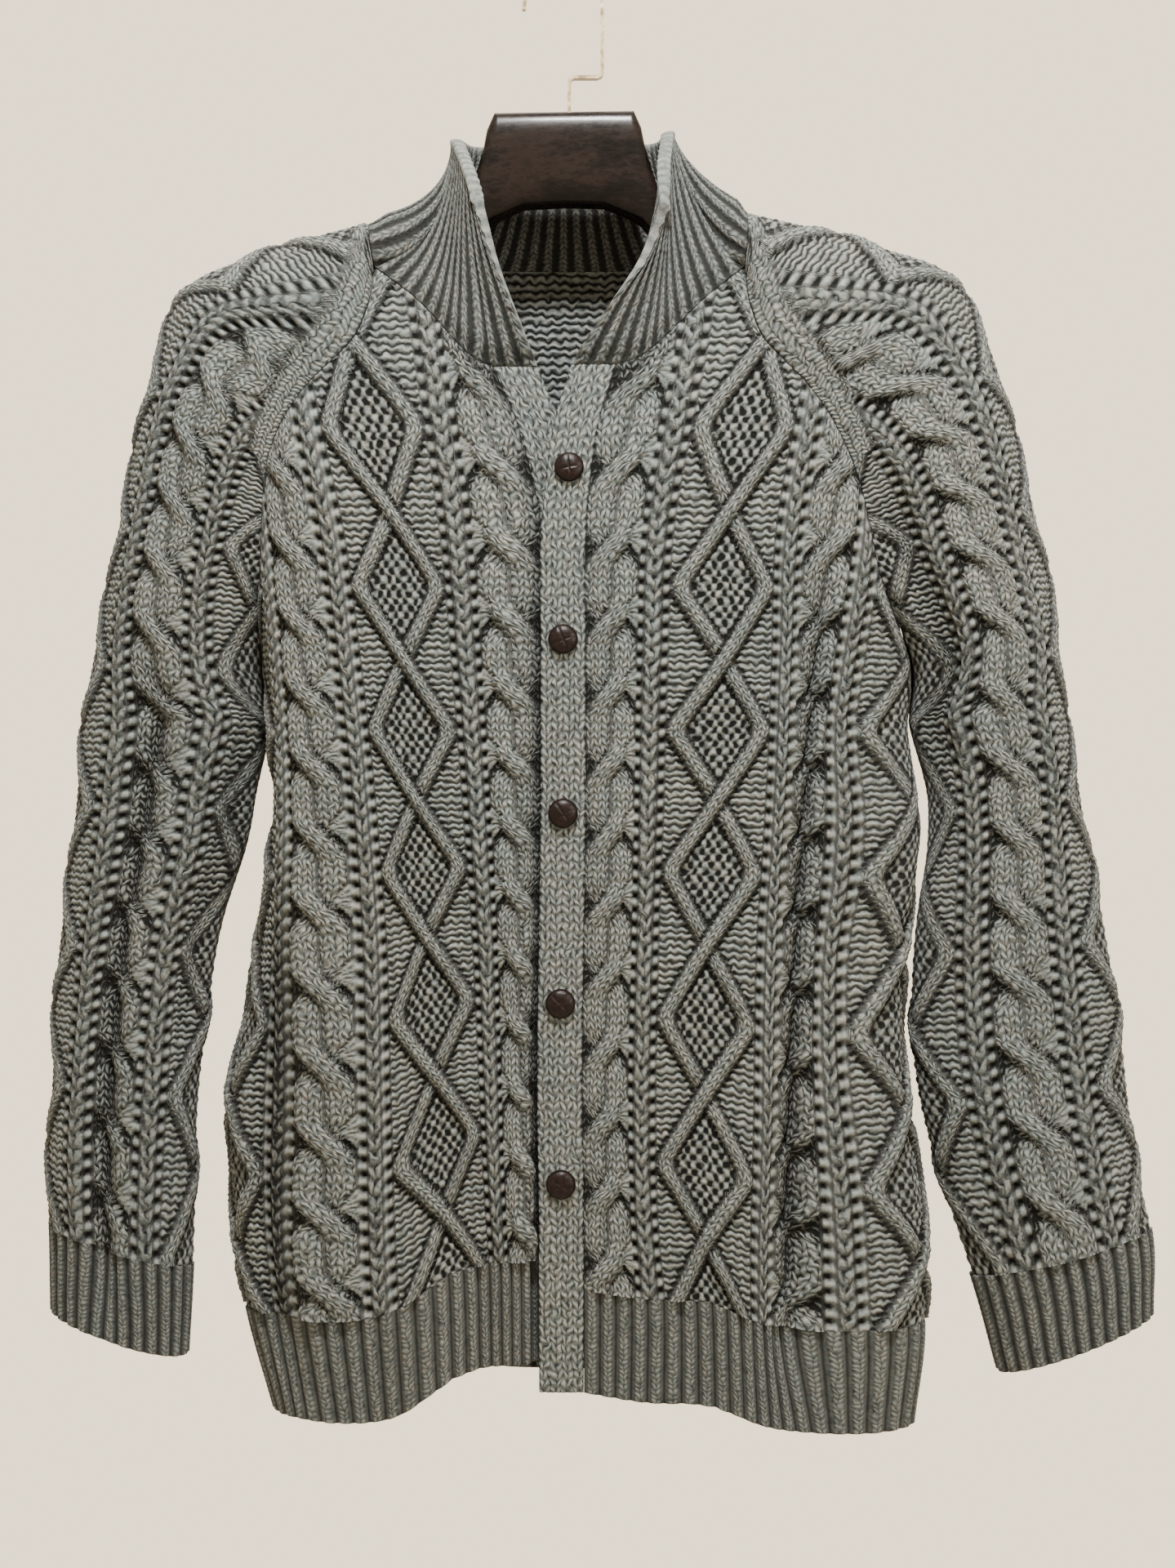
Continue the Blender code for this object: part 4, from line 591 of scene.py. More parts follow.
def border_loop(faces):
    """The border of a disc of faces as one ring of point numbers, in the faces' own turn."""
    edges = dict.fromkeys((start, face[(k + 1) % len(face)])
                          for face in faces for k, start in enumerate(face))
    onward = {s: e for s, e in edges if (e, s) not in edges}
    first = next(iter(onward))
    ring = [first]
    while onward[ring[-1]] != first:
        ring.append(onward[ring[-1]])
    return ring


def zip_loops(outer, inner, place):
    """Triangles between two rings that run side by side; place gives comparable points."""
    gap = np.linalg.norm(place[inner] - place[outer[0]], axis=1)
    turn = int(np.argmin(gap))
    inner = inner[turn:] + inner[:turn]
    faces = []
    i = j = 0
    while i < len(outer) or j < len(inner):
        o0, o1 = outer[i % len(outer)], outer[(i + 1) % len(outer)]
        n0, n1 = inner[j % len(inner)], inner[(j + 1) % len(inner)]
        step_outer = np.linalg.norm(place[o1] - place[n0])
        step_inner = np.linalg.norm(place[o0] - place[n1])
        if j >= len(inner) or (i < len(outer) and step_outer <= step_inner):
            faces.append([o1, o0, n0])
            i += 1
        else:
            faces.append([o0, n0, n1])
            j += 1
    return faces


# ---- seams ------------------------------------------------------------------------
SEAM_BLEND = 16.0         # a panel's normals turn into its seam's over this distance
SEAM_TABLES = {}


def plain_normal(panel):
    surface = back_point if panel == "back" else on_side(front_point, panel)
    return lambda u, v: normals(surface, u, v, 0.8, 0.01, OUTWARD[panel])


def sleeve_normal(side):
    def find(s, t):
        reach = seam_reach(side, t) - 1.2
        s = np.clip(s, -reach, reach)
        return normals(on_side(sleeve_point, side), s, t, 1.0, 0.03, OUTWARD[side])
    return find


def seam_table(side, behind, samples=60):
    """Shared normals along a raglan seam, by t."""
    t = np.linspace(0.0, UNDERARM_T, samples)
    v = sleeve_row(side, 2 if behind else 1, t)
    u = raglan_u(v, behind) - 1.0
    if behind:
        body = plain_normal("back")(SIDE_SIGN[side] * u, v)
        sleeve = sleeve_normal(side)(seam_reach(side, t) - 2.0, t)
    else:
        body = plain_normal(side)(u, v)
        sleeve = sleeve_normal(side)(2.0 - seam_reach(side, t), t)
    down = soft_step((t - UNDERARM_T + 0.5) / 0.5)[:, None]
    return t, v, unit(unit(body + sleeve) * (1.0 - down) + np.array([0.0, 0.0, -1.0]) * down)


def seam_normal(side, behind, value, by_row):
    """Shared seam normal at body row v (by_row) or at sleeve row t."""
    key = (side, behind)
    if key not in SEAM_TABLES:
        SEAM_TABLES[key] = seam_table(side, behind)
    t, v, table = SEAM_TABLES[key]
    knots = v if by_row else t
    return unit(np.stack([np.interp(value, knots, table[:, k]) for k in range(3)], axis=-1))


def blended(natural, shared, distance):
    weight = soft_step(distance / SEAM_BLEND)[..., None]
    return unit(shared * (1.0 - weight) + natural * weight)


def side_seam_normal(sign, v, raglan):
    """The raglan's shared normals, turning into the sideways one below the underarm."""
    below = soft_step((v - UNDERARM_V) / 0.3)[..., None]
    sideways = np.array([1.0, 0.0, 0.0]) * np.asarray(sign)[..., None]
    return unit(raglan * (1.0 - below) + sideways * below)


def front_normal(side):
    natural = plain_normal(side)

    def find(u, v):
        raglan = seam_normal(side, False, np.minimum(v, UNDERARM_V), True)
        shared = side_seam_normal(SIDE_SIGN[side], v, raglan)
        inner = blended(natural(u, v), AHEAD, u - BAND_SEAM_U)
        return blended(inner, shared, raglan_u(v) - u)
    return find


def back_normal(u, v):
    left = seam_normal("left", True, np.minimum(v, UNDERARM_V), True)
    right = seam_normal("right", True, np.minimum(v, UNDERARM_V), True)
    raglan = np.where((u < 0)[..., None], left, right)
    shared = side_seam_normal(np.sign(u), v, raglan)
    return blended(plain_normal("back")(u, v), shared, raglan_u(v, True) - np.abs(u))


def joined_sleeve_normal(side):
    natural = sleeve_normal(side)

    def find(s, t):
        before = seam_normal(side, False, np.minimum(t, UNDERARM_T), False)
        behind = seam_normal(side, True, np.minimum(t, UNDERARM_T), False)
        raglan = np.where((s < 0)[..., None], before, behind)
        below = soft_step((t - UNDERARM_T) / 0.6)[..., None]
        shared = raglan * (1.0 - below) + np.array([OUTWARD[side], 0.0, 0.0]) * below
        return blended(natural(s, t), shared, seam_reach(side, t) - np.abs(s))
    return find


def body_gap(v):
    return RAGLAN_GAP + UNDERARM_GAP * bell((v - 2.3) / 0.8)


def front_inside(u, v):
    """Positive inside a front panel: below the neckline and short of the raglan seam."""
    below_neck = (v - neck_v(u)) * REPEAT - SEAM_GAP
    below_neck = np.where(u > FRONT_NECK[-1][0], 99.0, below_neck)
    return np.minimum(below_neck, raglan_u(v) - body_gap(v) - u)


def back_inside(u, v):
    below_neck = (v - neck_v(u, True)) * REPEAT - SEAM_GAP
    below_neck = np.where(np.abs(u) > BACK_NECK[-1][0], 99.0, below_neck)
    return np.minimum(below_neck, raglan_u(v, True) - body_gap(v) - np.abs(u))


def sleeve_inside(side):
    def find(s, t):
        gap = RAGLAN_GAP + UNDERARM_GAP * bell((t - 4.5) / 1.0)
        return seam_reach(side, t) - gap - np.abs(s)
    return find


# ---- front bands and neckline -----------------------------------------------------
def band_point(side, a, v):
    """Front band: a runs from the panel's edge over the centre."""
    edge = front_point(side, np.full(np.shape(a * v), BAND_SEAM_U), v)
    point = edge.copy()
    point[..., 0] -= SIDE_SIGN[side] * a
    if side == "left":
        other = front_point("right", np.full(np.shape(a * v), BAND_SEAM_U), v)
        under = other[..., 1] + WALL + BAND_APART
        blend = soft_step(a / 10.0) * soft_step((v - 0.12) / 0.25)
        point[..., 1] = np.maximum(edge[..., 1], edge[..., 1] * (1 - blend) + under * blend)
    else:
        point[..., 1] -= BAND_CROWN * np.sin(math.pi * np.clip(a / BAND_WIDTH, 0.0, 1.0))
    return point


def band_normal(side):
    """Straight ahead at the panel's edge, turning with the band beyond it."""
    def find(a, v):
        natural = normals(on_side(band_point, side), a, v, 0.8, 0.02, SIDE_SIGN[side])
        return blended(natural, AHEAD, a)
    return find


def neckline(side, a, u, s, u_back):
    """Points along half the neckline: at a on the band, u on the front, s on the sleeve's top
    and u_back on the back."""
    return np.concatenate([
        band_point(side, a, np.full(len(a), NECK_EDGE_V)), front_point(side, u, neck_v(u)),
        sleeve_point(side, s, np.zeros(len(s))),
        back_point(SIDE_SIGN[side] * u_back, neck_v(u_back, True))])


def collar_stations():
    """The neckline's points below each of the collar's top points."""
    left, right = (neckline(side, np.array([BAND_WIDTH]), np.array([13.0, 36.0, 60.0]),
                            np.array([-28.0, 0.0, 28.0]), np.array([46.0]))
                   for side in ("left", "right"))
    middle = back_point(np.zeros(1), neck_v(np.zeros(1), True))
    return np.concatenate([left, middle, right[::-1]])


# ---- stitches ---------------------------------------------------------------------
STITCH = 6.2              # width of a purl or moss stitch
ROW = 4.2                 # height of a row
BAND_STITCH = 6.5
BAND_ROW = 5.25
RIB_ROW = 3.1
RIB_SHARE = 0.74          # a rib's stitch takes this much of the pitch
HEM_JOIN = 0.15           # from a panel to its ribbing
RIB_CLEAR = 0.2           # from the ribbing's end to the side seam
BAND_CLEAR = 0.05
HEM_RIBS = {"front": 24, "back": 51, "cuff": 28}
HEM_ROLL = 1.8            # how far the rolled edge bulges
BAND_ROLL = 1.6
COLLAR_ROLL = 1.4
CHAIN_ROW = 8.4           # the big stitches between two rows of eyelets
CHAIN_HALF = 4.5
LADDER_HALF = 9.2
CABLE_ROWS = 18.0         # rows of a cable in one repeat
STRAND_WIDE = 4.9
STRAND_REACH = 24.5
RAGLAN_STITCH = 5.6
V_SLOPE = 0.78            # how far a stitch's legs rise from its foot, in rows
TAU = 2.0 * math.pi


def knit_stitch(a, b):
    """Two plump legs a stitch; a counts stitches across and b rows down."""
    side = np.abs(2.0 * np.mod(a, 1.0) - 1.0)
    leg = 0.5 + 0.5 * np.cos(TAU * (b + V_SLOPE * side))
    return (0.42 + 0.58 * leg) * (0.2 + 0.8 * np.sqrt(np.sin(math.pi * side)))


def purl_stitch(a, b):
    wave = np.cos(TAU * a)
    return (0.5 + 0.5 * np.cos(TAU * (b + 0.13 * wave))) * (0.84 + 0.16 * wave)


def moss_stitch(a, b):
    return np.clip(0.4 + 0.7 * np.cos(TAU * a) * np.cos(math.pi * b), 0.0, 1.0)


def lay(cloth, where, **new):
    """Writes new stitch values over the chosen points."""
    for key, value in new.items():
        cloth[key] = np.where(where, value, cloth[key])


def purl_ground(x, v):
    """Purl all over: what the raised stitches are laid on."""
    a, b = x / STITCH, v * REPEAT / ROW
    high = purl_stitch(a, b)
    none = np.zeros(np.shape(high))
    return {"rise": none, "detail": 1.0 * high, "shade": none,
            "a": a + none, "b": b + none, "knit": none, "purl": none + 1.0, "moss": none}


def strand_path(v):
    """Distance of the two lattice strands from their axis; they cross at whole v."""
    near = np.abs(v - np.round(v))
    return STRAND_REACH * (2.0 * near - 3.6 * np.clip(2.0 * near - 0.86, 0.0, 1.0) ** 2)


def lay_diamond(cloth, away, v):
    """A diamond of moss stitch between two strands, the one on top crossing over the other."""
    near = v - np.round(v)
    reach = strand_path(v)
    a, b = away / STITCH, v * REPEAT / ROW
    # painted shade: the moss inside the diamond is darkened a little, sunk between the strands
    lay(cloth, np.abs(away) < reach, detail=1.5 * moss_stitch(a, b) - 0.2, shade=0.1,
        a=a, b=b, purl=0.0, moss=1.0)
    cross = bell(near / 0.16)
    for turn, lift in ((1.0, -3.0), (-1.0, 1.2)):
        off = away - turn * np.sign(near) * reach
        # painted shade in the valley beside each strand; the strand's rounded sides get painted shade
        # below too
        valley_painted_shade = 0.85 * np.exp(-((np.abs(off) - 5.8) / 1.3) ** 2)
        lay(cloth, np.abs(off) > 4.6, shade=np.maximum(cloth["shade"], valley_painted_shade))
        round_top = np.sqrt(np.clip(1.0 - (off / STRAND_WIDE) ** 2, 0.0, 1.0))
        rise = (4.2 + lift * cross) * round_top
        columns = off / 4.6 + 1.0
        lay(cloth, (np.abs(off) < STRAND_WIDE) & (rise > cloth["rise"]), rise=rise,
            detail=1.2 * knit_stitch(columns, b), shade=0.5 * (1.0 - round_top) ** 2,
            a=columns, b=b, knit=1.0, purl=0.0, moss=0.0)


def lay_cable(cloth, away, v, half, hand, fan):
    """A cable of two strands, three stitches each; fan is the side the floats spread to."""
    turn = np.mod(2.0 * v, 1.0)
    swing = hand * 0.5 * np.sin(math.pi / 2.0 * np.clip((turn - 0.5) / 0.34, -1.0, 1.0))
    lifted = np.sin(math.pi * np.clip((turn - 0.16) / 0.68, 0.0, 1.0))
    wide = 0.53 * half
    inside = np.abs(away) < half + 0.6
    b = v * CABLE_ROWS
    # painted shade: the cable's ground between its strands is darkened
    lay(cloth, inside, rise=0.0, detail=0.3, shade=0.75, knit=1.0, purl=0.0, moss=0.0,
        a=away / STITCH, b=b)
    for side, lift in ((-1.0, -2.4), (1.0, 2.2)):
        off = away - side * swing * half
        if side > 0.0:
            # painted shadow along the over-strand's edges, and below on each strand's rounded sides
            edge = 0.9 * np.exp(-np.clip(np.abs(off) - wide, 0.0, 9.0) / 1.6) * lifted
            lay(cloth, inside, shade=np.maximum(cloth["shade"], edge))
        round_top = np.clip(1.0 - np.abs(off / wide) ** 2.6, 0.0, 1.0) ** 0.6
        rise = (3.3 + lift * lifted) * round_top
        columns = 3.0 * off / (2.0 * wide) + 0.5
        lay(cloth, inside & (np.abs(off) < wide) & (rise > cloth["rise"]), rise=rise,
            detail=1.3 * knit_stitch(columns, b), shade=0.75 * (1.0 - round_top) ** 2,
            a=columns, b=b)
    out = fan * away - 0.42 * half
    down = (turn - 0.33) * REPEAT / 2.0
    radius = np.hypot(out, down)
    angle = np.arctan2(down, out)
    ray = 0.5 + 0.5 * np.cos(TAU * angle / 0.36)
    spread = (out > 0.5) & (radius < 13.0) & (np.abs(angle) < 0.9)
    # painted shade between the fan's rays
    lay(cloth, inside & spread & (cloth["rise"] < 4.0), rise=2.2 * (1.0 - (radius / 14.0) ** 2),
        detail=1.3 * ray, shade=0.75 * (1.0 - ray), knit=0.0)


def lay_rope(cloth, away, v):
    """One column of big stitches with a ladder of eyelets on each side."""
    y = v * REPEAT / CHAIN_ROW
    side = np.clip(np.abs(away) / CHAIN_HALF, 0.0, 1.0)
    leg = (0.5 + 0.5 * np.cos(TAU * (y + V_SLOPE * side))) ** 0.8
    plump = np.sin(math.pi * np.clip(0.12 + 0.8 * side, 0.0, 1.0))
    high = leg * plump
    inside = np.abs(away) < CHAIN_HALF
    gap = np.clip((np.abs(away) - CHAIN_HALF) / (LADDER_HALF - CHAIN_HALF), 0.0, 1.0)
    bar = (0.5 + 0.5 * np.cos(TAU * (y + V_SLOPE + 0.12 * gap))) ** 0.9
    hole = np.sqrt(np.sin(math.pi * gap)) * np.clip(1.35 * (1.0 - bar) - 0.1, 0.0, 1.0)
    # painted shade: eyelets near black, gaps between bars and between the big stitches darkened
    lay(cloth, np.abs(away) < LADDER_HALF, rise=0.4 * (1.0 - gap), detail=1.5 * bar - 1.6 * hole,
        shade=np.clip(1.15 * hole + 0.2 * (1.0 - bar), 0.0, 1.0), a=away / STITCH, b=y * 2.0,
        knit=0.0, purl=0.0, moss=0.0)
    lay(cloth, inside, rise=2.5 * np.sqrt(1.0 - 0.6 * side ** 2), detail=1.9 * high - 0.6,
        shade=0.35 * (1.0 - high) ** 2, a=away / (2.0 * CHAIN_HALF) + 0.5, b=y, knit=0.8)


def stitch_ground(x, v, diamonds, sink):
    """Purl with the diamonds laid in; x is measured from each diamond's axis."""
    cloth = purl_ground(x, v)
    for chosen in diamonds:
        part = {key: value.copy() for key, value in cloth.items()}
        lay_diamond(part, chosen, v)
        part["rise"] = sink * part["rise"]
        lay(cloth, np.abs(chosen) < DIAMOND_HALF, **part)
    return cloth


def body_stitches(u, v):
    away = np.abs(u)
    cloth = stitch_ground(u, v, [away - axis for axis in BODY_DIAMONDS], 1.0)
    for axis, half, fan in ((*CABLE_A, 1.0), (*CABLE_B, -1.0)):
        lay_cable(cloth, away - axis, v, half, -1.0, fan)
    for axis in BODY_ROPES:
        lay_rope(cloth, away - axis, v)
    return cloth


def sleeve_stitches(side, s, t):
    away = np.abs(s)
    v = t + SLEEVE_PHASE
    cloth = stitch_ground(s, v, [s, away - SLEEVE_SIDE_DIAMOND], 0.6)
    axis, half = SLEEVE_CABLE
    for end in (-1.0, 1.0):
        hand = end * SIDE_SIGN[side]
        lay_cable(cloth, end * s - axis, v, half, hand, hand)
    for axis in SLEEVE_ROPES:
        lay_rope(cloth, away - axis, v)
    return cloth


def sleeve_stitches_of(side):
    """The sleeve's stitches with two plain columns along the raglan seams."""
    def find(s, t):
        cloth = sleeve_stitches(side, s, t)
        short = seam_reach(side, t) - np.abs(s)
        columns, b = short / RAGLAN_STITCH, t * REPEAT / ROW
        # painted shade along the plain columns' outer edge by the raglan seam
        lay(cloth, (short < 2.0 * RAGLAN_STITCH) & (t > 0.12) & (t < 2.3),
            rise=0.8, detail=1.2 * knit_stitch(columns, b),
            shade=0.4 * bell((short - 2.0 * RAGLAN_STITCH) / 1.6),
            a=columns, b=b, knit=1.0, purl=0.0, moss=0.0)
        return cloth
    return find


def unevenness(x, y, seed):
    """Slow hills and hollows of hand-washed knitting, mm."""
    return (0.9 * np.sin(x / 23.0 + 1.7 * seed + 1.3 * np.sin(y / 61.0))
            * np.sin(y / 37.0 + 0.8 * seed) + 0.5 * np.sin(x / 11.0 + y / 29.0 + seed))


# ---- meshes -----------------------------------------------------------------------
MARKS = ("a", "b", "shade", "knit", "purl", "moss")
SHARP_ANGLE = 1.25


def turned_outward(points, faces):
    """The faces, reversed if together they enclose a negative volume."""
    total = 0.0
    for size in {len(face) for face in faces}:
        ring = np.array([face for face in faces if len(face) == size])
        first = points[ring[:, 0]]
        for k in range(1, size - 1):
            total += np.sum(first * np.cross(points[ring[:, k]], points[ring[:, k + 1]]))
    return faces if total > 0.0 else [face[::-1] for face in faces]


def tube_faces(rings, spokes, first=0):
    """Quads between rings of points that follow one another."""
    faces = []
    for ring in range(rings - 1):
        low = first + ring * spokes
        for k in range(spokes):
            after = (k + 1) % spokes
            faces.append([low + k, low + after, low + spokes + after, low + spokes + k])
    return faces


def add_piece(name, node, points, faces, material):
    """A smooth piece from points in mm, in the place of one solid."""
    mesh = bpy.data.meshes.new(node)
    mesh.from_pydata((points * MM).tolist(), [], turned_outward(points, faces))
    mesh.shade_smooth()
    mesh.materials.append(material)
    thing = bpy.data.objects.new(name, mesh)
    bpy.context.scene.collection.objects.link(thing)
    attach(thing, "root")
    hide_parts(node)
    return thing


def add_cloth(node, points, faces, marks, material):
    """A knit piece whose points carry their stitch coordinates and kinds, and the painted shade that
    darkens its colour.
    """
    thing = add_piece(f"knit_{node}", node, points, faces, material)
    thing.data.set_sharp_from_angle(angle=SHARP_ANGLE)
    for label, keys in (("stitch", MARKS[:3]), ("weave", MARKS[3:])):
        vector = thing.data.attributes.new(label, "FLOAT_VECTOR", "POINT")
        vector.data.foreach_set("vector", np.stack([marks[key] for key in keys], axis=1).ravel())
    return thing


def even_lattice(bounds, steps):
    """Columns and rows at about these steps, mm."""
    (a0, a1), (b0, b1) = bounds
    return np.meshgrid(np.linspace(a0, a1, round((a1 - a0) / steps[0]) + 1),
                       np.linspace(b0, b1, round((b1 - b0) * REPEAT / steps[1]) + 1))


def panel(node, form, look, bounds, steps, seed, material):
    """A knit panel cut along its seams: raised stitches outside and purl inside.

    form is its surface, normal and outline; look is its stitches, how clear they stand of the
    seams and how much painted shade darkens its folds.
    """
    surface, normal, inside = form
    stitches, clear, painted_fold_shade = look
    out_ab, out_faces = clipped_lattice(*even_lattice(bounds, steps[0]), inside)
    in_ab, in_faces = clipped_lattice(*even_lattice(bounds, steps[1]), inside)
    x, y = out_ab[:, 0], out_ab[:, 1]
    cloth = stitches(x, y)
    fade = clear(x, y)
    # painted shade: folds, creases and the collar's shadow darken the colour through the shade mark
    cloth["shade"] = 1.0 - (1.0 - cloth["shade"]) * (1.0 - 0.5 * painted_fold_shade(x, y))
    lift = (cloth["rise"] + unevenness(x, y * REPEAT, seed)) * fade
    lift = lift + cloth["detail"] * (0.4 + 0.6 * fade)
    out_point = surface(x, y) + normal(x, y) * lift[:, None]
    p, q = in_ab[:, 0], in_ab[:, 1]
    in_point = surface(p, q) - normal(p, q) * WALL
    back_side = purl_ground(p, q)
    # painted shade: the inside face is darkened a little
    back_side["shade"] = np.full(len(p), 0.05)
    place = np.concatenate([out_ab, in_ab]) * np.array([1.0, REPEAT])
    in_faces = [[n + len(out_point) for n in face] for face in in_faces]
    rim = zip_loops(border_loop(out_faces), border_loop(in_faces), place)
    faces = out_faces + [face[::-1] for face in in_faces] + rim
    marks = {key: np.concatenate([cloth[key], back_side[key]]) for key in MARKS}
    points = np.concatenate([out_point, in_point])
    return add_cloth(node, points, faces, marks, material)


FADE = 7.0                # raised stitches sink over this distance from a seam
# steps of each panel's lattice, mm: across and down, first outside and then inside
PANEL_STEPS = {
    "front": ((1.7, 1.05), (5.5, 7.0)),
    "sleeve": ((2.0, 1.4), (6.0, 8.0)),
    "back": ((2.6, 2.1), (6.0, 7.0)),
}


def fold_painted_shade(panel_name):
    """Painted shade and painted shadow, 0 to 1: how much of the light a body fold, or the collar above
    it, keeps out.
    """
    def find(u, v):
        total = np.clip(fold_depth(panel_name, u, v) / 13.0, 0.0, 1.0) ** 1.5
        if panel_name != "back":
            below = (v - neck_v(u)) * REPEAT
            total = np.maximum(total, bell(np.maximum(below, 0.0) / 22.0) * bell((u - 22.0) / 30.0))
        return total
    return find


def crease_painted_shade(side):
    """The same painted shade for a sleeve's creases."""
    return lambda s, t: np.clip(crease_depth(side, s, t) / 11.0, 0.0, 1.0) ** 1.5


def front_clear(u, v):
    clear = soft_step((raglan_u(v) - u) / FADE) * soft_step((v - neck_v(u)) * REPEAT / 3.0)
    clear = clear * soft_step((u - BAND_SEAM_U) / FADE)
    return clear * (1.0 - 0.8 * soft_step((u - 196.0) / 12.0) * soft_step((3.9 - v) / 0.6))


def back_clear(u, v):
    away = np.abs(u)
    clear = soft_step((raglan_u(v, True) - away) / FADE)
    clear = clear * soft_step((v - neck_v(u, True)) * REPEAT / FADE)
    return clear * (1.0 - soft_step((away - 190.0) / 12.0) * soft_step((3.9 - v) / 0.6))


def sleeve_clear(side):
    def find(s, t):
        away = np.abs(s)
        clear = soft_step((seam_reach(side, t) - away) / FADE) * soft_step(t / 0.04)
        tucked = soft_step((away - 98.0) / 10.0) * soft_step((6.6 - t) / 0.6)
        return clear * (1.0 - tucked * soft_step((t - 3.6) / 0.6))
    return find


def panels(material):
    made = {}
    for seed, side in enumerate(("left", "right")):
        node = f"front_{side}"
        made[node] = panel(
            node, (on_side(front_point, side), front_normal(side), front_inside),
            (body_stitches, front_clear, fold_painted_shade(side)),
            ((BAND_SEAM_U, SIDE_U), (FRONT_NECK[-1][1], BODY_END_V)), PANEL_STEPS["front"],
            seed, material)
        node = f"sleeve_{side}"
        made[node] = panel(
            node, (on_side(sleeve_point, side), joined_sleeve_normal(side), sleeve_inside(side)),
            (sleeve_stitches_of(side), sleeve_clear(side), crease_painted_shade(side)),
            ((-SLEEVE_HALF_ROUND, SLEEVE_HALF_ROUND), (0.0, SLEEVE_END_T)),
            PANEL_STEPS["sleeve"], seed + 2, material)
    made["back"] = panel(
        "back", (back_point, back_normal, back_inside),
        (body_stitches, back_clear, fold_painted_shade("back")),
        ((-SIDE_U, SIDE_U), (BACK_NECK[-1][1], BODY_END_V)), PANEL_STEPS["back"], 4, material)
    return made


ROUND_STEPS = 5           # points round each rolled edge of a strip
DOWN_STEP = 0.02          # step that finds a strip's direction downward


def ring_wall(node, surface, normal, columns, levels, wall, stitches, round_out,
              start_bulge, material):
    """A closed strip of knitting with rounded ends.

    The ring of each column runs down outside, round the lower edge, up inside and round the
    upper edge; round_out and start_bulge say how far the edges bulge past the last and the
    first level.
    """
    count = len(levels)
    turn = np.linspace(0.0, math.pi, ROUND_STEPS + 2)[1:-1]
    b = np.concatenate([levels, np.full(ROUND_STEPS, levels[-1]),
                        levels[::-1], np.full(ROUND_STEPS, levels[0])])
    deep = np.concatenate([np.zeros(count), (1.0 - np.cos(turn)) / 2.0,
                           np.ones(count), (1.0 + np.cos(turn)) / 2.0])[:, None]
    bulge = np.concatenate([np.zeros(count), np.sin(turn) * round_out,
                            np.zeros(count), -np.sin(turn) * start_bulge])[:, None]
    grid_a, grid_b = np.meshgrid(columns, b)
    cloth = stitches(grid_a, grid_b)
    before = np.minimum(grid_b, levels[-1] - DOWN_STEP)
    down = unit(surface(grid_a, before + DOWN_STEP) - surface(grid_a, before))
    lift = cloth["lift"] * (1.0 - deep) + (cloth["inner"] - wall) * deep
    points = surface(grid_a, grid_b) + normal(grid_a, grid_b) * lift[..., None]
    points = points + down * bulge[..., None]
    rows, cols = grid_a.shape
    index = np.arange(rows * cols).reshape(rows, cols)
    after = np.roll(index, -1, axis=0)
    faces = np.stack([index[:, :-1], after[:, :-1], after[:, 1:], index[:, 1:]], axis=-1)
    faces = faces.reshape(-1, 4).tolist()
    # each end is closed by a ladder of quads between the outer and the inner rows
    for end in (0, cols - 1):
        ring = np.roll(index[:, end], 3).tolist()
        for k in range(rows // 2 - 1):
            face = [ring[k], ring[k + 1], ring[rows - 2 - k], ring[rows - 1 - k]]
            faces.append(face[::-1] if end else face)
    marks = {key: np.asarray(cloth[key] + 0.0 * grid_a).ravel() for key in MARKS}
    return add_cloth(node, points.reshape(-1, 3), faces, marks, material)


def rib_stitches(start, end, ribs):
    """Rib columns of V stitches with a groove between them, darkened by painted shade."""
    def find(a, b):
        turn = np.mod((a - start) / (end - start) * ribs, 1.0)
        crest = 0.5 - 0.5 * np.cos(TAU * turn)
        column, row = (turn - 0.5) / RIB_SHARE + 0.5, b * REPEAT / RIB_ROW
        stitch = knit_stitch(column, row) * soft_step((crest - 0.1) / 0.4)
        none = 0.0 * a
        # shade: painted shade darkening the grooves between the ribs
        return {"lift": RIB_RISE * crest ** 0.55 + 0.5 * stitch, "inner": -1.4 * crest,
                "a": column, "b": row, "knit": 0.8 * soft_step((crest - 0.12) / 0.3),
                "purl": none, "moss": none, "shade": 0.95 * (1.0 - crest) ** 2.4}
    return find


def ribbing(material):
    """Hem bands and cuffs; each strip has its ribs and how many columns a rib takes."""
    levels = np.linspace(BODY_END_V + HEM_JOIN / REPEAT, HEM_END_V, 40)
    cuff_levels = np.linspace(SLEEVE_END_T + HEM_JOIN / REPEAT, CUFF_END_T, 34)
    side_end, cuff_end = SIDE_U - RIB_CLEAR, SLEEVE_HALF_ROUND - RIB_CLEAR
    strips = [(f"hem_{side}", on_side(front_point, side), front_normal(side),
               (BAND_SEAM_U + RIB_CLEAR / 2.0, side_end), HEM_RIBS["front"], 7, levels)
              for side in ("left", "right")]
    strips.append(("hem_back", back_point, back_normal, (-side_end, side_end),
                   HEM_RIBS["back"], 5, levels[::2]))
    strips += [(f"cuff_{side}", on_side(sleeve_point, side), joined_sleeve_normal(side),
                (-cuff_end, cuff_end), HEM_RIBS["cuff"], 6, cuff_levels)
               for side in ("left", "right")]
    made = {}
    for node, surface, normal, (start, end), ribs, fine, rows in strips:
        made[node] = ring_wall(
            node, surface, normal, np.linspace(start, end, ribs * fine + 1), rows,
            WALL, rib_stitches(start, end, ribs), HEM_ROLL, 0.0, material)
    return made


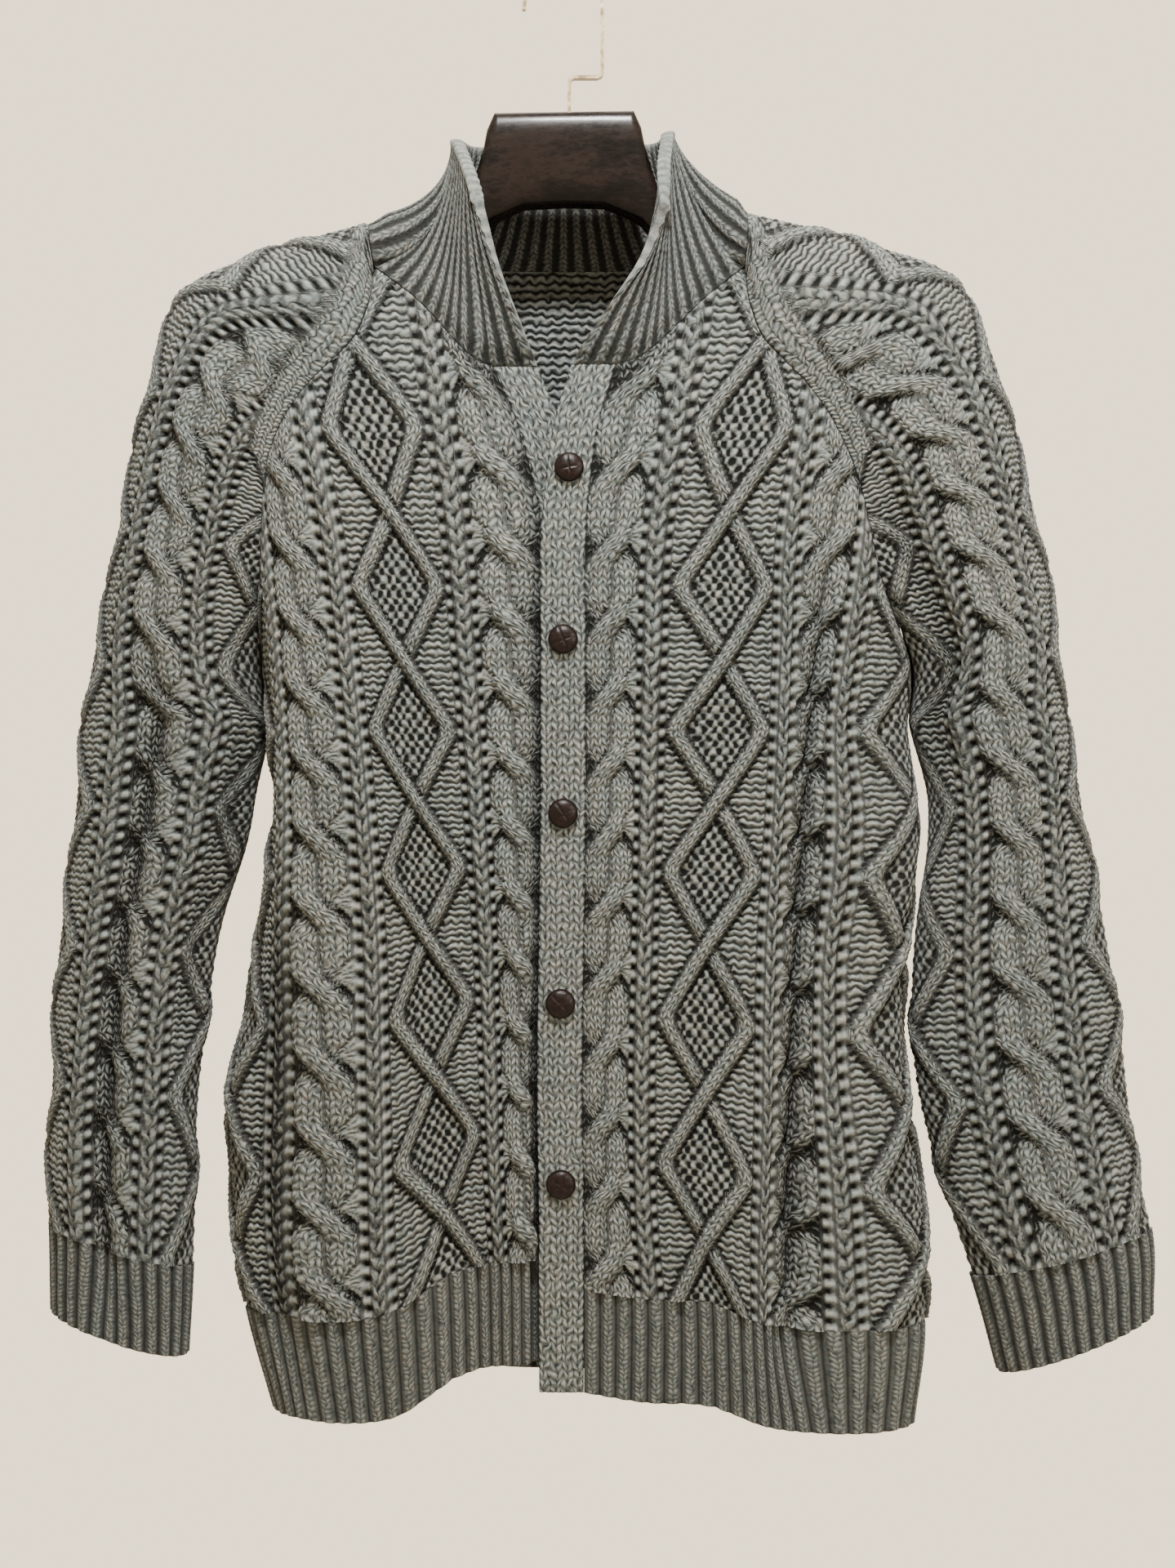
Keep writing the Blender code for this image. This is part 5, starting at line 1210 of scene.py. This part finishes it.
def band_stitches(a, b):
    column, row = a / BAND_STITCH, b * REPEAT / BAND_ROW
    none = 0.0 * a
    # painted shade along the band's two edges, at its seams
    edge = np.clip(1.0 - np.minimum(a, BAND_WIDTH - a) / 1.2, 0.0, 1.0)
    return {"lift": 1.3 * knit_stitch(column, row) - 0.3, "inner": none, "a": column, "b": row,
            "knit": none + 1.0, "purl": none, "moss": none, "shade": 0.3 * edge}


def front_bands(material):
    made = {}
    for side, node, columns, rows in (("left", "button_band", 13, 240),
                                      ("right", "buttonhole_band", 25, 480)):
        made[node] = ring_wall(
            node, on_side(band_point, side), band_normal(side),
            np.linspace(BAND_CLEAR, BAND_WIDTH, columns),
            np.linspace(NECK_EDGE_V + SEAM_GAP / REPEAT, HEM_END_V, rows),
            WALL, band_stitches, BAND_ROLL, 0.4 * BAND_ROLL, material)
    return made


# ---- collar -----------------------------------------------------------------------
COLLAR_RIBS = 66
COLLAR_HIGH = 70.0
LAST_STATION = len(COLLAR_TOP) - 1.0
COLLAR = {}


def fill_collar():
    """The collar's seam on the true neckline, and its ribs spaced by distance along it."""
    left, right = (neckline(side, np.linspace(BAND_WIDTH, 0.0, 120),
                            np.linspace(BAND_SEAM_U, FRONT_NECK[-1][0], 240),
                            np.linspace(-1.0, 1.0, 240) * float(seam_reach(side, 0.0)),
                            np.linspace(BACK_NECK[-1][0], 0.0, 240))
                   for side in ("left", "right"))
    edge = np.concatenate([left, right[::-1]])
    lengths = distance_along(edge)
    away = np.linalg.norm(collar_stations()[:, None, :] - edge[None, :, :], axis=-1)
    COLLAR["at"] = np.linspace(0.0, LAST_STATION, 801)
    reached = smooth_value(np.arange(len(COLLAR_TOP)), lengths[away.argmin(axis=1)], COLLAR["at"])
    COLLAR["rib"] = COLLAR_RIBS * reached / reached[-1]
    COLLAR["seam"] = [np.interp(reached, lengths, edge[:, k]) for k in range(3)]


def collar_point(q, h):
    """Collar surface: q counts stations round the neck, h runs from the seam to the top."""
    knots = np.arange(len(COLLAR_TOP))
    seam = np.stack([np.interp(q, COLLAR["at"], row) for row in COLLAR["seam"]], axis=-1)
    *top, flare = (smooth_value(knots, row, q) for row in zip(*COLLAR_TOP))
    climb = np.stack(top, axis=-1) - seam
    inward = 1.0 - (1.0 - h) ** (1.0 + flare)
    upward = h ** (1.0 + 0.35 * flare)
    return seam + climb * np.stack([inward, inward, upward], axis=-1)


def collar_stitches(a, b):
    """Ribs of the collar, thickened into a rolled edge at the top and a knotty one in front.

    The wall's normal points into the neck, so the side that shows is the inner one.
    """
    rib = np.interp(a, COLLAR["at"], COLLAR["rib"])
    turn = np.mod(rib, 1.0)
    crest = 0.5 - 0.5 * np.cos(TAU * turn)
    column, row = (turn - 0.5) / RIB_SHARE + 0.5, b * COLLAR_HIGH / RIB_ROW
    roll = bell((b - 1.0) / 0.09)
    low = soft_step(b / 0.05)
    ends = np.minimum(rib, COLLAR_RIBS - rib)
    edge = soft_step(ends / 0.8)
    none = 0.0 * a
    turned_out = bell(a / 1.8) + bell((LAST_STATION - a) / 1.8)
    turned_out = 4.0 * bell((b - 0.45) / 0.45) * turned_out
    knotty = bell(ends / 0.9) * low
    knots = np.cos(TAU * b * 11.0)
    raised = 1.9 * crest ** 0.6 * edge - 1.0 + 0.5 * knit_stitch(column, row)
    raised = raised * low * (1.0 - 0.45 * roll)
    foot = 4.2 * (1.0 - soft_step(b / 0.13))
    # painted shade in the grooves between ribs, and between the knots of the front edges
    shade = 0.92 * (1.0 - crest) ** 1.8 * edge * (1.0 - 0.6 * roll)
    return {"lift": 0.6 * crest * edge * low + 0.9 * roll - turned_out,
            "inner": foot - raised - 1.3 * roll - turned_out - 0.75 * knotty * (1.0 + knots),
            "a": column, "b": row, "purl": none, "moss": none,
            "knit": 0.8 * soft_step((crest - 0.1) / 0.3) * (1.0 - roll),
            "shade": shade + 0.25 * knotty * (1.0 - knots)}


def collar_normal(q, h):
    """Points into the neck."""
    q, h = np.clip(q, 0.02, LAST_STATION - 0.02), np.clip(h, 0.02, 0.98)
    return normals(collar_point, q, h, 0.02, 0.02, 1.0)


def collar(material):
    fill_collar()
    ribs = np.linspace(0.0, COLLAR_RIBS, COLLAR_RIBS * 6 + 1)
    return ring_wall("collar", collar_point, collar_normal,
                     np.interp(ribs, COLLAR["rib"], COLLAR["at"]), np.linspace(0.003, 0.985, 50),
                     COLLAR_WALL, collar_stitches, COLLAR_ROLL, 0.0, material)


# ---- buttons and hanger -----------------------------------------------------------
def button_mesh(number):
    """A domed button with two crossed lines, its rim rounded under."""
    out = np.linspace(0.0, 1.0, BUTTON_RINGS)
    dome = BUTTON_EDGE + (BUTTON_DOME - BUTTON_EDGE) * np.sqrt(np.clip(1.0 - out ** 2.3, 0, 1))
    turn = TAU * np.arange(BUTTON_SPOKES) / BUTTON_SPOKES
    radius, angle = np.meshgrid(np.append(out[1:], [1.0, 0.94]), turn, indexing="ij")
    height = np.repeat(np.append(dome[1:], [0.7, 0.0])[:, None], BUTTON_SPOKES, axis=1)
    x, y = radius * np.cos(angle), radius * np.sin(angle)
    tilt = 0.2 * number
    across = x * math.cos(tilt) + y * math.sin(tilt)
    along = y * math.cos(tilt) - x * math.sin(tilt)
    lines = np.exp(-(across / 0.07) ** 2) + np.exp(-((along + 0.1) / 0.07) ** 2)
    top = (radius < 0.93) & (height > BUTTON_EDGE)
    height = height - np.where(top, BUTTON_GROOVE * np.clip(lines, 0.0, 1.0), 0.0)
    points = np.stack([x * BUTTON_RADIUS, y * BUTTON_RADIUS, height], axis=-1).reshape(-1, 3)
    points = np.concatenate([[[0.0, 0.0, BUTTON_DOME - BUTTON_GROOVE]], points, [[0.0, 0.0, 0.0]]])
    faces = [face[::-1] for face in tube_faces(len(radius), BUTTON_SPOKES, 1)]
    last = 1 + (len(radius) - 1) * BUTTON_SPOKES
    for k in range(BUTTON_SPOKES):
        after = (k + 1) % BUTTON_SPOKES
        faces += [[0, 1 + k, 1 + after], [len(points) - 1, last + after, last + k]]
    return points, faces


def buttons(material):
    for number, v in enumerate(BUTTON_V, start=1):
        middle, level = np.array(BAND_WIDTH / 2.0), np.array(v)
        facing = normals(on_side(band_point, "right"), middle, level, 2.0, 0.05, 1.0)
        seat = band_point("right", middle, level) + facing * BUTTON_LIFT
        turn = np.array(Vector(facing).to_track_quat("Z", "Y").to_matrix())
        points, faces = button_mesh(number)
        node = f"button_{number}"
        add_piece(f"leather_{node}", node, points @ turn.T + seat, faces, material)


def hanger(material):
    """The wooden hanger, its edges rounded more finely than the solid's."""
    table = np.array(HANGER)
    head = [0.0, 12.0, 24.0, 34.0, 40.0, 42.0, 44.2, 46.5, 48.0, 49.0]
    reach = np.array(head + list(np.linspace(51.0, HANGER[-1][0], 60)))
    weight = soft_step((reach - 70.0) / 20.0)
    sides = []
    for k in (1, 2, 3):
        straight = np.interp(reach, table[:, 0], table[:, k])
        curved = smooth_value(table[:, 0], table[:, k], reach)
        row = straight + (curved - straight) * weight
        sides.append(np.concatenate([row[:0:-1], row])[:, None])
    tops, bottoms, halves = sides
    x = np.concatenate([-reach[:0:-1], reach])[:, None]
    turn = TAU * (np.arange(HANGER_CORNERS) + 0.5) / HANGER_CORNERS
    y = halves * np.sign(np.cos(turn)) * np.abs(np.cos(turn)) ** 0.42
    z = (tops - bottoms) / 2.0 * np.sign(np.sin(turn)) * np.abs(np.sin(turn)) ** 0.55
    z = z + (tops + bottoms) / 2.0 + x * HANGER_TILT
    points = np.stack([x + 0.0 * y, y, z], axis=-1).reshape(-1, 3)
    faces = tube_faces(len(x), HANGER_CORNERS)
    for first in (0, (len(x) - 1) * HANGER_CORNERS):
        centre = len(points)
        middle = points[first:first + HANGER_CORNERS].mean(axis=0, keepdims=True)
        points = np.concatenate([points, middle])
        for k in range(HANGER_CORNERS):
            face = [centre, first + k, first + (k + 1) % HANGER_CORNERS]
            faces.append(face if first else face[::-1])
    add_piece("hanger_wood", "hanger_body", points, faces, material)


# ---- materials --------------------------------------------------------------------
class Nodes:
    """Short ways to add and join the nodes of one material."""

    def __init__(self, name):
        self.material = bpy.data.materials.new(name)
        self.material.use_nodes = True
        self.tree = self.material.node_tree
        self.shader = self.tree.nodes["Principled BSDF"]

    def add(self, kind, **settings):
        node = self.tree.nodes.new(kind)
        for key, value in settings.items():
            setattr(node, key, value)
        return node

    def join(self, source, target):
        self.tree.links.new(source, target)

    def place(self):
        return self.add("ShaderNodeTexCoord").outputs["Object"]

    def parts(self, attribute):
        """The three numbers that the cloth's points carry under this name."""
        source = self.add("ShaderNodeAttribute", attribute_name=attribute)
        split = self.add("ShaderNodeSeparateXYZ")
        self.join(source.outputs["Vector"], split.inputs[0])
        return split.outputs

    def math(self, operation, *values):
        node = self.add("ShaderNodeMath", operation=operation)
        for socket, value in zip(node.inputs, values):
            if isinstance(value, (int, float)):
                socket.default_value = value
            else:
                self.join(value, socket)
        return node.outputs[0]

    def times(self, one, two):
        return self.math("MULTIPLY", one, two)

    def plus(self, one, two):
        return self.math("ADD", one, two)

    def line(self, value, slope, start):
        return self.math("MULTIPLY_ADD", value, slope, start)

    def wave(self, value):
        """One crest a unit, -1 to 1."""
        return self.math("COSINE", self.times(value, TAU))

    def noise(self, scale, detail, rough, vector, offset=None):
        node = self.add("ShaderNodeTexNoise")
        if offset:
            shift = self.add("ShaderNodeMapping")
            shift.inputs["Location"].default_value = offset
            self.join(vector, shift.inputs["Vector"])
            vector = shift.outputs["Vector"]
        node.inputs["Scale"].default_value = scale
        node.inputs["Detail"].default_value = detail
        node.inputs["Roughness"].default_value = rough
        self.join(vector, node.inputs["Vector"])
        return node.outputs["Fac"]

    def ramp(self, value, *stops):
        node = self.add("ShaderNodeValToRGB")
        band = node.color_ramp
        while len(band.elements) < len(stops):
            band.elements.new(0.5)
        for element, (place, colour) in zip(band.elements, stops):
            element.position = place
            element.color = (*colour, 1.0)
        self.join(value, node.inputs["Fac"])
        return node.outputs["Color"]

    def tint(self, factor, one, two):
        """Colour one, multiplied by colour two to the extent of factor."""
        node = self.add("ShaderNodeMix", data_type="RGBA", blend_type="MULTIPLY")
        for name, value in (("Factor", factor), ("A", one), ("B", two)):
            socket = next(s for s in node.inputs
                          if s.name == name and (name == "Factor" or s.type == "RGBA"))
            if isinstance(value, (int, float)):
                socket.default_value = value
            elif isinstance(value, tuple):
                socket.default_value = (*value, 1.0)
            else:
                self.join(value, socket)
        return next(s for s in node.outputs if s.type == "RGBA")

    def bump(self, height, strength, distance):
        node = self.add("ShaderNodeBump")
        node.inputs["Strength"].default_value = strength
        node.inputs["Distance"].default_value = distance
        self.join(height, node.inputs["Height"])
        self.join(node.outputs["Normal"], self.shader.inputs["Normal"])


def stitch_height(nodes, across, down, knit, purl, moss):
    """Height of the stitch at a point, 0 to 1, as knit_stitch, purl_stitch and moss_stitch."""
    side = nodes.math("ABSOLUTE", nodes.line(nodes.math("FRACT", across), 2.0, -1.0))
    leg = nodes.line(nodes.wave(nodes.line(side, V_SLOPE, down)), 0.5, 0.5)
    plump = nodes.math("SINE", nodes.times(side, math.pi))
    plump = nodes.math("SQRT", nodes.math("MAXIMUM", plump, 0.0))
    knit_high = nodes.times(nodes.line(leg, 0.58, 0.42), nodes.line(plump, 0.8, 0.2))
    wave = nodes.wave(across)
    ridge = nodes.line(nodes.wave(nodes.line(wave, 0.13, down)), 0.5, 0.5)
    purl_high = nodes.times(ridge, nodes.line(wave, 0.16, 0.84))
    step = nodes.math("COSINE", nodes.times(down, math.pi))
    moss_high = nodes.line(nodes.times(wave, step), 0.7, 0.4)
    moss_high = nodes.math("MINIMUM", nodes.math("MAXIMUM", moss_high, 0.0), 1.0)
    high = nodes.plus(nodes.times(purl, purl_high), nodes.times(moss, moss_high))
    return nodes.plus(nodes.times(knit, knit_high), high)


def knit_material(name, light, dark):
    """Matt yarn: loose stitches as bumps, painted shade in the grooves between stitches and where the
    shade mark says, and a heathered colour.
    """
    nodes = Nodes(name)
    across, down, shade = nodes.parts("stitch")
    knit, purl, moss = nodes.parts("weave")
    place = nodes.place()
    across = nodes.plus(across, nodes.line(nodes.noise(170.0, 1.0, 0.5, place), 0.9, -0.45))
    loose = nodes.noise(145.0, 1.0, 0.5, place, offset=(3.1, 5.7, 2.3))
    down = nodes.plus(down, nodes.line(loose, 1.0, -0.5))
    high = stitch_height(nodes, across, down, knit, purl, moss)
    ply = nodes.times(nodes.noise(620.0, 2.0, 0.6, place), 0.45)
    fibre = nodes.times(nodes.noise(1500.0, 3.0, 0.7, place), 0.25)
    nodes.bump(nodes.plus(nodes.times(high, 0.8), nodes.plus(ply, fibre)), 0.9, 0.0016)
    colour = nodes.ramp(nodes.noise(260.0, 3.0, 0.65, place), (0.32, dark), (0.5, light),
                        (0.68, tuple(c * 1.18 for c in light)))
    fleck = nodes.ramp(nodes.noise(190.0, 2.0, 0.6, place), (0.42, (0.86, 0.9, 0.92)),
                       (0.5, (1.0, 1.0, 1.0)), (0.6, (1.08, 1.0, 0.96)))
    slow = nodes.ramp(nodes.noise(9.0, 2.0, 0.5, place), (0.35, (0.9, 0.93, 0.93)),
                      (0.65, (1.05, 1.02, 0.98)))
    colour = nodes.tint(0.7, nodes.tint(0.8, colour, fleck), slow)
    # painted shade: gaps between stitches and the cloth's shade mark darken the colour towards near
    # black
    low = nodes.math("MAXIMUM", nodes.math("SUBTRACT", 1.0, high), 0.0)
    weight = nodes.plus(knit, nodes.plus(nodes.times(purl, 0.8), nodes.times(moss, 0.9)))
    painted_groove_shade = nodes.times(nodes.math("POWER", low, 1.2), weight)
    depth = nodes.math("MINIMUM", nodes.line(painted_groove_shade, 1.2, shade), 1.0)
    colour = nodes.tint(depth, colour, (0.01, 0.012, 0.01))
    nodes.join(colour, nodes.shader.inputs["Base Color"])
    nodes.shader.inputs["Roughness"].default_value = 0.88
    nodes.shader.inputs["Specular IOR Level"].default_value = 0.06
    nodes.shader.inputs["Sheen Weight"].default_value = 0.05
    nodes.shader.inputs["Sheen Roughness"].default_value = 0.5
    return nodes.material


def leather_material():
    nodes = Nodes("dark_button_leather")
    place = nodes.place()
    colour = nodes.ramp(nodes.noise(420.0, 3.0, 0.6, place), (0.35, (0.002, 0.0014, 0.0012)),
                        (0.7, (0.008, 0.0035, 0.003)))
    nodes.join(colour, nodes.shader.inputs["Base Color"])
    nodes.bump(nodes.noise(1400.0, 3.0, 0.6, place), 0.35, 0.0004)
    nodes.shader.inputs["Roughness"].default_value = 0.3
    nodes.shader.inputs["Specular IOR Level"].default_value = 0.1
    return nodes.material


def wood_material():
    """Dark varnished wood, its grain drawn out along the hanger."""
    nodes = Nodes("dark_wood_gloss")
    stretch = nodes.add("ShaderNodeMapping")
    stretch.inputs["Scale"].default_value = (24.0, 60.0, 60.0)
    nodes.join(nodes.place(), stretch.inputs["Vector"])
    grain = nodes.noise(1.0, 6.0, 0.62, stretch.outputs["Vector"])
    fine = nodes.noise(7.0, 3.0, 0.7, stretch.outputs["Vector"])
    both = nodes.line(fine, 0.35, nodes.times(grain, 0.75))
    colour = nodes.ramp(both, (0.38, (0.0012, 0.001, 0.0009)), (0.52, (0.003, 0.0022, 0.0018)),
                        (0.62, (0.0065, 0.0042, 0.0033)), (0.75, (0.0018, 0.0013, 0.0011)))
    nodes.join(colour, nodes.shader.inputs["Base Color"])
    nodes.bump(both, 0.15, 0.0004)
    nodes.join(nodes.line(fine, 0.2, 0.16), nodes.shader.inputs["Roughness"])
    nodes.shader.inputs["Specular IOR Level"].default_value = 0.07
    nodes.shader.inputs["Coat Weight"].default_value = 0.03
    nodes.shader.inputs["Coat Roughness"].default_value = 0.1
    return nodes.material


def brass_material():
    nodes = Nodes("brass_strip")
    wear = nodes.noise(160.0, 4.0, 0.6, nodes.place())
    colour = nodes.ramp(wear, (0.3, (0.16, 0.12, 0.07)), (0.6, (0.30, 0.24, 0.15)),
                        (0.8, (0.42, 0.36, 0.26)))
    nodes.join(colour, nodes.shader.inputs["Base Color"])
    nodes.shader.inputs["Metallic"].default_value = 1.0
    nodes.join(nodes.line(wear, 0.25, 0.18), nodes.shader.inputs["Roughness"])
    return nodes.material


def floor_material():
    nodes = Nodes("pale_floor")
    nodes.shader.inputs["Base Color"].default_value = (0.72, 0.69, 0.63, 1.0)
    nodes.shader.inputs["Roughness"].default_value = 0.95
    return nodes.material


# ---- stage, m ---------------------------------------------------------------------
FLOOR_HALF = 2.4
FLOOR_Z = -1.9
CAMERA_PLACE = (0.0141, -1.3, -0.51)
CAMERA_LENS = 49.24
SENSOR_WIDTH = 36.0
AIM = (0.0, 0.0, -0.5)


def soft_light(name, place, aim, size, power, colour):
    lamp = bpy.data.lights.new(name, "AREA")
    lamp.shape = "DISK"
    lamp.size = size
    lamp.energy = power
    lamp.color = colour
    thing = bpy.data.objects.new(name, lamp)
    thing.location = place
    thing.rotation_euler = (Vector(aim) - Vector(place)).to_track_quat("-Z", "Y").to_euler()
    bpy.context.scene.collection.objects.link(thing)


def stage():
    """Pale floor, pale room light, three soft lamps and the camera at the photo's angle."""
    mesh = bpy.data.meshes.new("floor")
    corners = ((-1.0, -1.0), (1.0, -1.0), (1.0, 1.0), (-1.0, 1.0))
    mesh.from_pydata([(x * FLOOR_HALF, y * FLOOR_HALF, FLOOR_Z) for x, y in corners], [],
                     [[0, 1, 2, 3]])
    mesh.materials.append(floor_material())
    floor = bpy.data.objects.new("floor", mesh)
    bpy.context.scene.collection.objects.link(floor)
    floor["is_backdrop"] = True
    world = bpy.data.worlds.new("pale_room")
    world.use_nodes = True
    sky = world.node_tree.nodes["Background"]
    sky.inputs["Color"].default_value = (0.88, 0.735, 0.53, 1.0)
    sky.inputs["Strength"].default_value = 2.5
    bpy.context.scene.world = world
    soft_light("key", (0.03, -0.85, 0.78), AIM, 0.2, 100.0, (1.0, 0.985, 0.97))
    soft_light("right_fill", (1.3, -1.2, -0.1), AIM, 0.8, 29.0, (1.0, 0.94, 0.86))
    soft_light("top", (0.0, 0.35, 0.8), (0.0, 0.0, -0.3), 0.8, 9.0, (1.0, 0.97, 0.92))
    camera = bpy.data.objects.new("camera", bpy.data.cameras.new("camera"))
    camera.location = CAMERA_PLACE
    camera.rotation_euler = (math.pi / 2.0, 0.0, 0.0)
    camera.data.sensor_width = SENSOR_WIDTH
    camera.data.lens = CAMERA_LENS
    bpy.context.scene.collection.objects.link(camera)
    bpy.context.scene.camera = camera


def main():
    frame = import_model()
    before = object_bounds()
    knit = knit_material("grey_sage_knit", (0.120, 0.133, 0.130), (0.074, 0.083, 0.083))
    # painted shade: the ribbing's material is a darker copy of the same yarn, standing in for shade on
    # collar, hems and cuffs
    rib = knit_material("grey_sage_rib", (0.103, 0.113, 0.110), (0.065, 0.072, 0.072))
    made = panels(knit)
    made.update(ribbing(rib))
    made.update(front_bands(knit))
    made["collar"] = collar(rib)
    buttons(leather_material())
    hanger(wood_material())
    hook = frame["nodes"]["hanger_hook"]
    hook.data.materials.clear()
    hook.data.materials.append(brass_material())
    stage()
    return before


cad_box = main()
